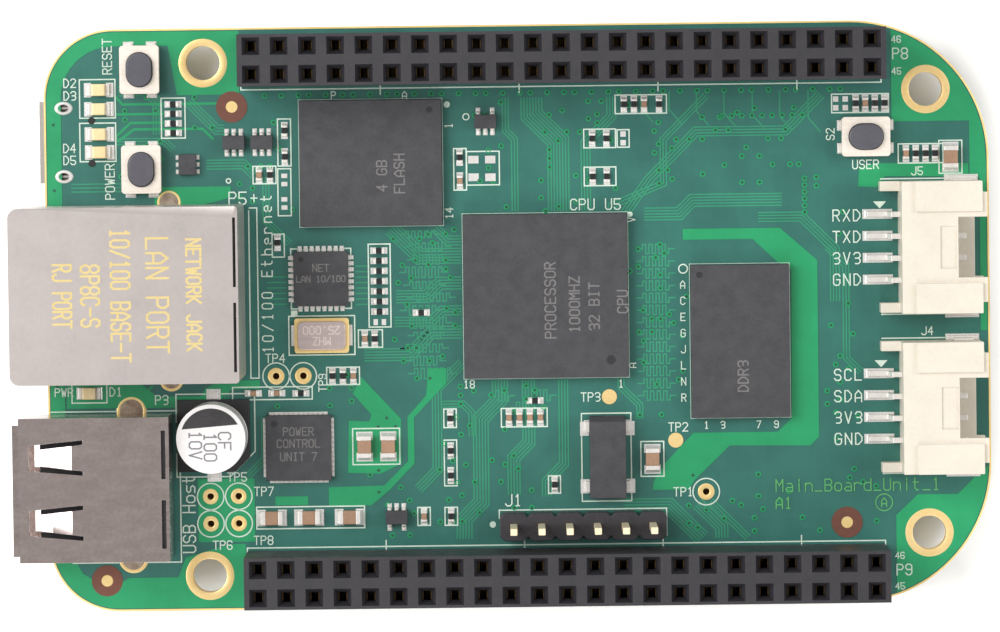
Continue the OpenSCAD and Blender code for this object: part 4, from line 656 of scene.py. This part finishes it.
for side in (1, -1):
    outlines.append([(3.45, side * 23.3), (3.45, side * 21.0), (62.0, side * 21.0), (62.0, side * 21.6)])
    for i in range(1, 5):
        outlines.append([(4.7625 + i * 12.7 - 1.27, side * 21.4), (4.7625 + i * 12.7 - 1.27, side * 20.4)])
for y in (5.95, -8.65):
    outlines += [[(70.4, y + 6.2), (61.8, y + 6.2)], [(70.4, y - 6.2), (61.8, y - 6.2)]]
outlines += [frame_of(38.35, 16.14, 1.1, 1.6), frame_of(6.67, 6.72, 1.1, 2.1)]
low, high = box_mm("ethernet_phy_package")
for x, y, sx, sy in ((high.x, high.y, 1, 1), (high.x, low.y, 1, -1), (low.x, low.y, -1, -1),
        (low.x, high.y, -1, 1)):
    outlines.append([(x + sx * 0.25, y - sy * 0.35), (x + sx * 0.25, y + sy * 0.25),
        (x - sx * 0.35, y + sy * 0.25)])
piece("legend_outlines", [ribbon(path, 0.12, ink_z - 0.006, ink_z + 0.01 + 0.0015 * (i % 5)) for i, path in
    enumerate(outlines)], ink)
corner_lines = [ribbon(frame_of(*box), 0.05, ink_z - 0.006, ink_z + 0.01) for box in (
    (31.1, 1.85, 15.16, 15.16), (48.85, -2.5, 9.16, 14.16), (15.25, 14.2, 13.16, 11.66))]
piece("package_outlines", corner_lines, ink)
circles = [(x, y, 1.22) for x, y in test_holes] + [(43.7, 4.15, 0.4), (24.0, 18.3, 0.28), (2.2, 12.7, 0.2)]
circle_low, circle_high = ink_z - 0.006, ink_z + 0.019
piece("legend_circles", [turned([(r - 0.06, circle_low), (r + 0.06, circle_low), (r + 0.06, circle_high),
    (r - 0.06, circle_high)], x, y, 32) for x, y, r in circles], ink)
piece("pin_one_arrows", [prism([(61.15, y), (62.35, y), (61.75, y - 0.65)], ink_z, ink_z + 0.02)
    for y in (10.1, -4.45)], ink)
pin_spots = [arc(22.25, 19.45, 0.3, 0, 330, 11), arc(38.9, 9.2, 0.25, 0, 330, 11),
    arc(26.0, -19.1, 0.3, 0, 330, 11), [(7.75, 0.18), (8.35, 0.18), (8.35, 0.76), (7.75, 0.76)]]
piece("legend_dots", [prism(spot, ink_z, ink_z + 0.02) for spot in pin_spots], ink)


# ---- Expansion headers and debug header ---------------------------------------------------------
# Glass-filled nylon strips moulded in black, pressed over rows of gold-flashed spring contacts.

header_plastic = grained("header_plastic", (52, 50, 54), (40, 39, 43), 0.46, scale=5000.0, bump=0.4)
pin_gold = grained("pin_gold", (224, 180, 96), (206, 160, 80), 0.3, scale=3000.0, metallic=0.9, bump=0.08)
# The header contacts take a darker gold as painted shade, for their place deep in the cells
shaded_contact_gold = grained("socket_contact_gold_painted_shade", (96, 78, 50), (78, 62, 40), 0.36, scale=3000.0, metallic=0.9,
    bump=0.08)
bright_pin = grained("plated_pin", (250, 236, 206), (240, 222, 186), 0.4, scale=3000.0, metallic=0.3,
    bump=0.08)
dress(header_plastic, "upper_header_housing", "lower_header_housing", soften=0.08)
dress(header_plastic, "debug_header_base", soften=0.08)
dress(shaded_contact_gold, "upper_header_contacts", "lower_header_contacts", soften=0.03, steps=1)
dress(bright_pin, "debug_header_pins", soften=0.06, steps=1)
dress(pin_gold, "ethernet_jack_contacts", "usb_host_contacts", "micro_usb_contacts", "card_slot_contacts",
    soften=0.03, steps=1)


# ---- Ethernet jack ------------------------------------------------------------------------------
# A nickel-plated sheet shield folded round a black moulding that holds the plug's spring wires.

brush, brush_in, brush_out = effect_group("drawn_metal", [
    ("Colour 1", "Color", (0.6, 0.6, 0.6, 1)), ("Colour 2", "Color", (0.5, 0.5, 0.5, 1)),
    ("Along", "Vector", (150.0, 3000.0, 600.0)), ("Roughness", "Float", 0.35), ("Spread", "Float", 0.1)])
coordinates = brush.nodes.new("ShaderNodeTexCoord").outputs["Object"]
stretch = brush.nodes.new("ShaderNodeVectorMath")
stretch.operation = "MULTIPLY"
brush.links.new(coordinates, stretch.inputs[0])
brush.links.new(brush_in.outputs["Along"], stretch.inputs[1])
streaks = noise_at(brush, stretch.outputs[0], 1.0, 5.0)
specks = noise_at(brush, coordinates, 3200.0, 2.0)
both = sum_of(brush, "ADD", sum_of(brush, "MULTIPLY", streaks, 0.6), sum_of(brush, "MULTIPLY", specks, 0.4))
brush.links.new(blend_of(brush, sharpened(brush, both, 0.35, 0.65), brush_in.outputs["Colour 1"],
    brush_in.outputs["Colour 2"]), brush_out.inputs["Colour"])
shift = sum_of(brush, "MULTIPLY", sum_of(brush, "SUBTRACT", both, 0.5), brush_in.outputs["Spread"])
brush.links.new(sum_of(brush, "ADD", brush_in.outputs["Roughness"], sum_of(brush, "MULTIPLY", shift, 4.0)),
    brush_out.inputs["Roughness"])
brush.links.new(both, brush_out.inputs["Height"])


def drawn(name, first, second, roughness, along=(150.0, 3000.0, 600.0), spread=0.06, metal=1.0, **rest):
    """Sheet metal with the fine lines of drawing or brushing."""
    return finish(name, brush, {"Colour 1": colour(*first), "Colour 2": colour(*second), "Along": along,
        "Roughness": roughness, "Spread": spread}, metallic=metal, **rest)


jack_metal = grained("jack_shield_metal", (203, 195, 191), (194, 186, 182), 0.34, scale=2600.0,
    metallic=0.75, bump=0.1)
dress(jack_metal, "ethernet_jack_shield", soften=0.08)
black_plastic = grained("black_plastic", (40, 40, 42), (30, 30, 32), 0.5, scale=5000.0, bump=0.25)
dress(black_plastic, "ethernet_jack_housing", "micro_usb_insulator", "card_slot_base", "button_bases",
    "capacitor_base", soften=0.04)
light_pipe = grained("light_pipe", (206, 220, 160), (196, 212, 150), 0.2, transmission_weight=0.6)
dress(light_pipe, "ethernet_jack_light_pipes", soften=0.08)
ferrite = grained("ferrite", (58, 54, 54), (46, 43, 44), 0.6, scale=3500.0, bump=0.4)
dress(ferrite, "ethernet_jack_transformers", "power_inductors", soften=0.08)
tin = drawn("tin_plate", (240, 236, 230), (222, 218, 212), 0.34, along=(900.0, 900.0, 900.0), metal=0.45,
    bump=0.1)
dress(tin, "ethernet_jack_pins", "button_terminals", "capacitor_leads", "side_socket_pins",
    "side_socket_anchors", "flat_pack_leads", "small_chip_leads", soften=0.04, steps=1)

jack_top = box_mm("ethernet_jack_shield")[1].z
print_ink = grained("jack_print", (206, 186, 128), (198, 178, 118), 0.55, scale=5000.0, bump=0.1)
jack_print = []
for word, x, size, narrow in (("NETWORK JACK", -0.35, 1.25, 0.7), ("LAN PORT", -3.6, 1.9, 0.72),
        ("10/100 BASE-T", -6.9, 1.65, 0.58), ("8P8C-S", -9.6, 1.6, 0.62), ("RJ PORT", -12.1, 1.6, 0.54)):
    jack_print += lettering(word, x, 2.75, size, jack_top, -90, pen=0.21, rise=0.01, narrow=narrow)
piece("jack_print", jack_print, print_ink)


# ---- USB host port ------------------------------------------------------------------------------
# A bright nickel shell, stamped with spring fingers, round a black tongue with four contacts.

shell_metal = drawn("usb_shell_metal", (206, 194, 189), (168, 155, 152), 0.2, along=(420.0, 1100.0, 500.0),
    spread=0.1, bump=0.25)
dress(shell_metal, "usb_host_shell", soften=0.12, steps=3)
dress(black_plastic, "usb_host_insulator", soften=0.08)


# ---- Micro USB socket and memory card slot, under the board ---------------------------------------
# Both are stamped steel covers over black mouldings, soldered to the board's underside.

small_shell = drawn("small_shell_metal", (204, 200, 196), (188, 184, 181), 0.3, bump=0.1)
dress(small_shell, "micro_usb_shell", "card_slot_cover", soften=0.05)
spring_metal = drawn("spring_steel", (190, 190, 190), (176, 176, 178), 0.25)
dress(spring_metal, "card_slot_spring", "card_slot_cam_rod", "reset_button_dome", "power_button_dome",
    "user_button_dome")
# The coil spring gets a mesh of its own
low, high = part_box("card_slot_spring")
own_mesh(nodes["card_slot_spring"])
slider_plastic = grained("slider_plastic", (70, 70, 74), (58, 58, 62), 0.45)
dress(slider_plastic, "card_slot_slider", soften=0.04)


# ---- Push buttons -------------------------------------------------------------------------------
# A satin steel cover clipped over a black base, with a dark grey oval that presses a snap dome.

cover_metal = drawn("button_cover_metal", (240, 232, 220), (224, 214, 200), 0.42, metal=0.2, bump=0.1)
dress(cover_metal, "button_covers", soften=0.06)
# Each snap dome gets a mesh of its own
for button in ("reset", "power", "user"):
    low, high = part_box(button + "_button_dome")
    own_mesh(nodes[button + "_button_dome"])
plunger_plastic = grained("plunger_plastic", (88, 87, 94), (78, 77, 84), 0.36, bump=0.1)
dress(plunger_plastic, "reset_button_plunger", "power_button_plunger", "user_button_plunger", soften=0.12,
    steps=3)


# ---- Chips --------------------------------------------------------------------------------------
# Black epoxy mouldings on green substrates with solder balls, or flat with leads round the edge.

mould = grained("chip_moulding", (65, 65, 68), (51, 51, 54), 0.52, spread=0.1, scale=7000.0, bump=0.5)
dress(mould, "processor_package", "memory_package", "storage_package", "power_controller_package",
    "ethernet_phy_package", "small_chip_packages", "clock_crystal_package", soften=0.06)
substrate = grained("substrate", (40, 84, 60), (34, 72, 52), 0.4)
dress(substrate, "bga_substrates", soften=0.02)
solder = grained("reflowed_solder", (240, 238, 234), (214, 212, 208), 0.3, scale=5000.0, metallic=0.45,
    bump=0.25)
dress(solder, "bga_solder_balls")

laser = grained("laser_mark", (114, 112, 111), (104, 102, 101), 0.6, scale=7000.0, bump=0.3)
marks = []
for node, lines in {
        "processor_package": (("PROCESSOR", 0.4, -0.4, 0.95), ("1000MHZ", 2.6, -0.8, 0.9),
            ("32 BIT", 4.4, -1.0, 0.9), ("CPU", 7.0, -0.6, 0.9)),
        "storage_package": (("FLASH", 2.6, -1.0, 0.9), ("4 GB", 1.0, -1.2, 0.9)),
        "memory_package": (("DDR3", 0.2, -3.2, 0.9),),
        "power_controller_package": (("POWER", 1.5, 0.0, 0.7), ("CONTROL", 0.4, 0.0, 0.7),
            ("UNIT 7", -0.8, 0.0, 0.7)),
        "ethernet_phy_package": (("NET", 1.0, 0.0, 0.65), ("LAN 10/100", 0.0, 0.0, 0.55))}.items():
    low, high = box_mm(node)
    x, y = (low.x + high.x) / 2, (low.y + high.y) / 2
    for word, along, across, size in lines:
        if node in ("power_controller_package", "ethernet_phy_package"):
            marks += lettering(word, x + across, y + along, size, high.z, 0, pen=0.1, rise=0.006)
        else:
            marks += lettering(word, x + along, y + across, size, high.z, 90, pen=0.13, rise=0.006)
piece("laser_marks", marks, laser)
pin_dots = []
for node, dx, dy, r in (("processor_package", 5.9, -5.9, 0.42), ("memory_package", -3.7, 6.1, 0.3),
        ("storage_package", 5.4, 4.8, 0.3), ("power_controller_package", -2.2, 2.2, 0.3),
        ("ethernet_phy_package", -1.8, 1.8, 0.25)):
    low, high = box_mm(node)
    x, y = (low.x + high.x) / 2 + dx, (low.y + high.y) / 2 + dy
    pin_dots.append(prism(arc(x, y, r, 0, 345, 23), high.z, high.z + 0.006))
dot_shade = grained("pin_one_dot", (48, 48, 50), (40, 40, 42), 0.3)
piece("pin_one_dots", pin_dots, dot_shade)


# ---- Crystal, filter capacitor and lights ---------------------------------------------------------
# The crystal's lid is seam-welded on a gilt rim. The can is drawn aluminium with a black print.

lid_metal = drawn("crystal_lid_metal", (204, 188, 184), (190, 174, 171), 0.34, metal=0.6, bump=0.08)
dress(lid_metal, "crystal_lid", soften=0.08)
dress(gold, "crystal_base", soften=0.05)
low, high = box_mm("crystal_lid")
x, y = (low.x + high.x) / 2, (low.y + high.y) / 2
crystal_marks = lettering("25.000", x, y + 0.5, 0.7, high.z, 180, 0.1, 0.006)
crystal_marks += lettering("MHZ", x, y - 0.5, 0.7, high.z, 180, 0.1, 0.006)
crystal_ink = grained("crystal_mark", (214, 200, 193), (204, 190, 183), 0.5)
piece("crystal_marks", crystal_marks, crystal_ink)

can_metal = drawn("can_metal", (242, 240, 239), (230, 228, 227), 0.32, along=(700.0, 700.0, 300.0),
    metal=0.3, bump=0.06)
dress(can_metal, "capacitor_can", soften=0.35, steps=4)
can_low, can_high = box_mm("capacitor_can")
can_x, can_y = (can_low.x + can_high.x) / 2, (can_low.y + can_high.y) / 2
can_black = grained("can_black_print", (58, 56, 58), (36, 35, 37), 0.45, scale=4500.0, spread=0.2)
piece("can_polarity_mark", [prism(arc(can_x, can_y, 2.78, 27.8, 161.2, 30), can_high.z - 0.01,
    can_high.z + 0.012)], can_black)
can_ink = grained("can_ink", (128, 127, 132), (116, 115, 120), 0.5)
can_marks = []
for word, dx, dy in (("CF", 1.25, -0.2), ("100", -0.05, -0.75), ("10V", -1.4, -0.55)):
    can_marks += lettering(word, can_x + dx, can_y + dy, 1.1, can_high.z, -90, 0.14, 0.01)
piece("can_marks", can_marks, can_ink)

led_plastic = grained("led_body", (238, 232, 214), (228, 222, 202), 0.4)
dress(led_plastic, "status_led_bodies", soften=0.04)
led_resin = grained("led_resin", (248, 228, 178), (238, 214, 160), 0.18, transmission_weight=0.1)
dress(led_resin, "status_led_lenses", soften=0.12, steps=3)


# ---- Two-ended parts and their solder ---------------------------------------------------------------
# Fired ceramic capacitors and glazed resistors with tinned ends, each on two reflowed pads.

ceramic = grained("fired_ceramic", (166, 132, 106), (150, 118, 94), 0.45, scale=6000.0)
dress(ceramic, "ceramic_capacitor_bodies", soften=0.05)
glaze = grained("resistor_glaze", (36, 36, 38), (26, 26, 28), 0.28)
dress(glaze, "chip_resistor_bodies", soften=0.04)
end_metal = grained("end_caps", (246, 242, 236), (224, 220, 214), 0.32, metallic=0.45, scale=6000.0, bump=0.2)
dress(end_metal, "chip_end_caps", soften=0.06)


def separate_boxes(node):
    """The box of each separate solid in a CAD node, as (low corner, high corner) in millimetres."""
    mesh = nodes[node].data
    spots, parent = {}, []
    for vertex in mesh.vertices:
        key = tuple(round(c * 1e6) for c in vertex.co)
        spots.setdefault(key, len(spots))
    parent = list(range(len(spots)))
    index = [spots[tuple(round(c * 1e6) for c in vertex.co)] for vertex in mesh.vertices]

    def root(i):
        while parent[i] != i:
            parent[i] = parent[parent[i]]
            i = parent[i]
        return i

    for polygon in mesh.polygons:
        first = root(index[polygon.vertices[0]])
        for vertex in polygon.vertices[1:]:
            parent[root(index[vertex])] = first
    boxes = {}
    for vertex in mesh.vertices:
        point = [c * 1000 for c in vertex.co]
        key = root(index[vertex.index])
        low, high = boxes.get(key, (point, point))
        boxes[key] = ([min(a, b) for a, b in zip(low, point)], [max(a, b) for a, b in zip(high, point)])
    return [boxes[key] for key in sorted(boxes)]


def fillet(x, y, z, way, wide, reach, climb):
    """Solder drawn up from its pad onto the face of an end cap or foot, which looks along way."""
    side = (-way[1], way[0])
    up = 1 if z > 0.5 else -1
    corners = []
    # The hollow curve of the solder's face, as shares of its reach, its climb and its width
    for out, height, half in ((0.0, 0.0, 0.54), (1.0, 0.0, 0.56), (0.62, 0.14, 0.54), (0.3, 0.4, 0.5),
            (0.0, 1.0, 0.42)):
        for s in (-half, half):
            corners.append((x + way[0] * out * reach + side[0] * s * wide,
                y + way[1] * out * reach + side[1] * s * wide, z + up * height * climb))
    faces = [[0, 1, 3, 2], [2, 3, 5, 4], [4, 5, 7, 6], [6, 7, 9, 8], [8, 9, 1, 0], [0, 2, 4, 6, 8],
        [1, 9, 7, 5, 3]]
    return corners, faces if up > 0 else [side_face[::-1] for side_face in faces]


def rectangle(x, y, wide, high):
    """A rectangle's outline about its middle."""
    return [(x - wide / 2, y - high / 2), (x + wide / 2, y - high / 2), (x + wide / 2, y + high / 2),
        (x - wide / 2, y + high / 2)]


fillets, pads = [], []
caps = separate_boxes("chip_end_caps")
for low, high in caps:
    size = [b - a for a, b in zip(low, high)]
    axis = 0 if size[0] < size[1] else 1
    other = 1 - axis
    middle = [(a + b) / 2 for a, b in zip(low, high)]
    # The part's other end is the nearest cap in line with this one
    partner = None
    for low2, high2 in caps:
        apart = (low2[axis] + high2[axis]) / 2 - middle[axis]
        offset = (low2[other] + high2[other]) / 2 - middle[other]
        in_line = abs(low2[2] - low[2]) < 0.05 and abs(offset) < 0.05 and 0.5 < abs(apart) < 1.95
        if in_line and (partner is None or abs(apart) < abs(partner)):
            partner = apart
    if partner is None:
        continue
    sign = -1 if partner > 0 else 1
    way = (sign, 0) if axis == 0 else (0, sign)
    top_side = low[2] > 0.5
    base = face if top_side else 0.0
    face_at = high[axis] if sign > 0 else low[axis]
    x, y = (face_at, middle[1]) if axis == 0 else (middle[0], face_at)
    reach = 0.16 + 0.12 * size[other]
    fillets.append(fillet(x, y, base, way, size[other], reach, size[2] * 0.7))
    inner = face_at - sign * (size[axis] + 0.02)
    outer = face_at + sign * (reach + 0.06)
    along, across = (inner + outer) / 2, middle[other]
    long, wide = abs(outer - inner), size[other] * 1.2
    outline = rectangle(along, across, long, wide) if axis == 0 else rectangle(across, along, wide, long)
    pads.append(prism(outline, base, base + 0.04) if top_side else prism(outline, -0.04, 0.0))


# ---- Side-entry sockets -----------------------------------------------------------------------------
# Natural nylon housings with a latch notch; four tinned pins bend down behind them to the board.

socket_nylon = grained("socket_nylon", (221, 212, 197), (213, 204, 188), 0.42, scale=3000.0,
    subsurface_weight=0.05)
dress(socket_nylon, "uart_socket_housing", "i2c_socket_housing", soften=0.06, dissolve=False)


# ---- Solder at every lead ---------------------------------------------------------------------------
# Reflowed pads under the feet on top; wave-soldered cones round the tails underneath.

for node, margin in (("button_terminals", 0.08), ("capacitor_leads", 0.25), ("side_socket_anchors", 0.15),
        ("small_chip_leads", 0.08), ("flat_pack_leads", 0.1)):
    for low, high in separate_boxes(node):
        pads.append(prism(rectangle((low[0] + high[0]) / 2, (low[1] + high[1]) / 2,
            high[0] - low[0] + 2 * margin, high[1] - low[1] + 2 * margin), face, face + 0.045))
# The network chip's pads run out past its leads
phy_low, phy_high = box_mm("ethernet_phy_package")
phy_x, phy_y = (phy_low.x + phy_high.x) / 2, (phy_low.y + phy_high.y) / 2
for low, high in separate_boxes("flat_pack_leads"):
    x, y = (low[0] + high[0]) / 2, (low[1] + high[1]) / 2
    if max(abs(x - phy_x), abs(y - phy_y)) < 3.2:
        out_x = math.copysign(0.34, x - phy_x) if abs(x - phy_x) > abs(y - phy_y) else 0.0
        out_y = 0.0 if out_x else math.copysign(0.34, y - phy_y)
        wide, long = (0.5, 0.36) if out_x else (0.36, 0.5)
        pads.append(prism(rectangle(x + out_x, y + out_y, wide, long), face, face + 0.06))
for low, high in separate_boxes("side_socket_pins"):
    y = (low[1] + high[1]) / 2
    pads.append(prism(rectangle(low[0] + 0.925, y, 2.75, 0.9), face, face + 0.05))
    fillets.append(fillet(low[0], y, face, (-1, 0), 0.6, 0.4, 0.3))
crystal_low, crystal_high = box_mm("crystal_base")
crystal_mid = (crystal_low.y + crystal_high.y) / 2
# Pads whose parts aren't fitted, those of the large four-footed part, and the crystal's
for x, y, wide, long in ((24.63, 14.37, 0.95, 0.7), (26.17, 14.36, 0.95, 0.7), (24.63, 12.76, 0.95, 0.7),
        (26.17, 12.74, 0.95, 0.7), (7.31, 12.35, 0.55, 0.4), (7.31, 13.1, 0.55, 0.4), (7.29, 10.2, 0.55, 0.4),
        (7.29, 10.95, 0.55, 0.4), (38.35, 15.75, 0.5, 0.5), (38.35, 16.55, 0.5, 0.5), (57.82, 18.7, 0.5, 0.5),
        (57.82, 19.5, 0.5, 0.5), (58.7, 18.7, 0.5, 0.5), (58.7, 19.5, 0.5, 0.5), (15.5, -0.4, 0.4, 0.55),
        (16.25, -0.4, 0.4, 0.55), (34.5, -10.4, 0.8, 1.3), (38.7, -10.4, 0.8, 1.3), (34.5, -15.7, 0.8, 1.3),
        (38.7, -15.7, 0.8, 1.3), (crystal_low.x - 0.1, crystal_mid, 0.4, 1.9),
        (crystal_high.x + 0.1, crystal_mid, 0.4, 1.9)):
    pads.append(prism(rectangle(x, y, wide, long), face, face + 0.05))
# The micro USB socket's two mounting slots
for x, y in ((-12.82, 19.51), (-12.84, 13.26)):
    points, sides = turned([(0.42, face), (0.82, face), (0.74, face + 0.1), (0.5, face + 0.12)], x, y, 32)
    pads.append(([(x + (px - x) * 1.04, y + (py - y) * 0.76, pz) for px, py, pz in points], sides))
pads = [([(x, y, z + 0.0012 * (i % 6) if z > face + 0.02 else z) for x, y, z in points], sides)
    for i, (points, sides) in enumerate(pads)]
piece("solder_pads", pads, solder)
piece("solder_fillets", fillets, solder, smooth=True)

cones = []
for node, half in (("upper_header_contacts", 0.32), ("lower_header_contacts", 0.32),
        ("debug_header_pins", 0.32), ("ethernet_jack_pins", 0.25), ("usb_host_contacts", 0.25)):
    for low, high in separate_boxes(node):
        x, y = (low[0] + high[0]) / 2, (low[1] + high[1]) / 2
        if node == "usb_host_contacts":
            x = high[0] - half
        cones.append(turned([(half * 0.9, 0.0), (half * 0.9, -1.05), (half + 0.08, -0.95),
            (half + 0.16, -0.55), (half + 0.32, -0.22), (0.88, -0.06), (0.92, 0.0)], x, y, 16))
piece("tail_solder_cones", cones, solder, smooth=True)


# ---- Studio -----------------------------------------------------------------------------------------
# A white floor that glows as painted light, dimmed under the board as a painted shadow, a large soft light up
# and to the left, and two weaker fills.

# The floor's glow is painted light: it glows everywhere but close under the board, where it fades to a
# painted shadow
glow, glow_in, glow_out = effect_group("floor_glow_painted_shadow", [("Reach", "Float", 0.006)])
spot = glow.nodes.new("ShaderNodeSeparateXYZ")
glow.links.new(glow.nodes.new("ShaderNodeTexCoord").outputs["Object"], spot.inputs[0])
middle_x, half_x, half_y = (left + right) / 2000, (right - left) / 2000, (far - near) / 2000
from_middle = sum_of(glow, "ABSOLUTE", sum_of(glow, "SUBTRACT", spot.outputs["X"], middle_x), 0.0)
beyond_x = sum_of(glow, "SUBTRACT", from_middle, half_x)
beyond_y = sum_of(glow, "SUBTRACT", sum_of(glow, "ABSOLUTE", spot.outputs["Y"], 0.0), half_y)
beyond = sum_of(glow, "ADD", sum_of(glow, "MAXIMUM", beyond_x, beyond_y), 0.003)
lit = sharpened(glow, sum_of(glow, "DIVIDE", beyond, glow_in.outputs["Reach"]), 0.0, 1.0)
# Dark brown close under the board and white beyond it: the painted shadow in the floor's glow
floor_shadow_tint = glow.nodes.new("ShaderNodeMix")
floor_shadow_tint.data_type = "RGBA"
floor_shadow_tint.inputs[6].default_value = colour(60, 54, 50)
floor_shadow_tint.inputs[7].default_value = colour(255, 252, 248)
glow.links.new(lit, floor_shadow_tint.inputs[0])
glow.links.new(floor_shadow_tint.outputs[2], glow_out.inputs["Colour"])
floor_paint = grained("floor_paint", (252, 252, 252), (250, 250, 250), 0.9, scale=40.0, bump=0.02,
    emission_strength=0.4)
floor_tree = floor_paint.node_tree
panel = floor_tree.nodes.new("ShaderNodeGroup")
panel.node_tree = glow
floor_tree.links.new(panel.outputs["Colour"], floor_tree.nodes["Principled BSDF"].inputs["Emission Color"])
floor_mesh = bpy.data.meshes.new("floor")
floor_z = cad_box[0].z - 0.0001
floor_mesh.from_pydata([(x, y, floor_z) for x, y in rectangle(0, 0, 6, 6)], [], [[0, 1, 2, 3]])
floor_mesh.materials.append(floor_paint)
floor = bpy.data.objects.new("floor", floor_mesh)
bpy.context.scene.collection.objects.link(floor)

world = bpy.data.worlds.new("studio")
bpy.context.scene.world = world
world.use_nodes = True
world.node_tree.nodes["Background"].inputs["Color"].default_value = colour(236, 233, 232)
world.node_tree.nodes["Background"].inputs["Strength"].default_value = 0.62


def softbox(name, place, size, power):
    """A square soft light that faces the middle of the board."""
    lamp = bpy.data.lights.new(name, "AREA")
    lamp.size = size
    lamp.energy = power
    holder = bpy.data.objects.new(name, lamp)
    holder.location = place
    holder.rotation_euler = (-holder.location).to_track_quat("-Z", "Y").to_euler()
    bpy.context.scene.collection.objects.link(holder)


softbox("key_light", (-0.34, 0.12, 0.40), 0.40, 3.0)
softbox("side_light", (0.50, 0.10, 0.36), 0.35, 1.4)
softbox("front_light", (-0.05, -0.50, 0.38), 0.35, 1.4)

lens = bpy.data.cameras.new("camera")
lens.sensor_width = 36
lens.lens = 196.9
lens.clip_start = 0.01
camera = bpy.data.objects.new("camera", lens)
camera.location = (0.02747, 0.01875, 0.50222)
camera.rotation_euler = (-0.0374, 0.0007, -0.0123)
bpy.context.scene.collection.objects.link(camera)
bpy.context.scene.camera = camera
bpy.context.scene.view_settings.view_transform = "Standard"
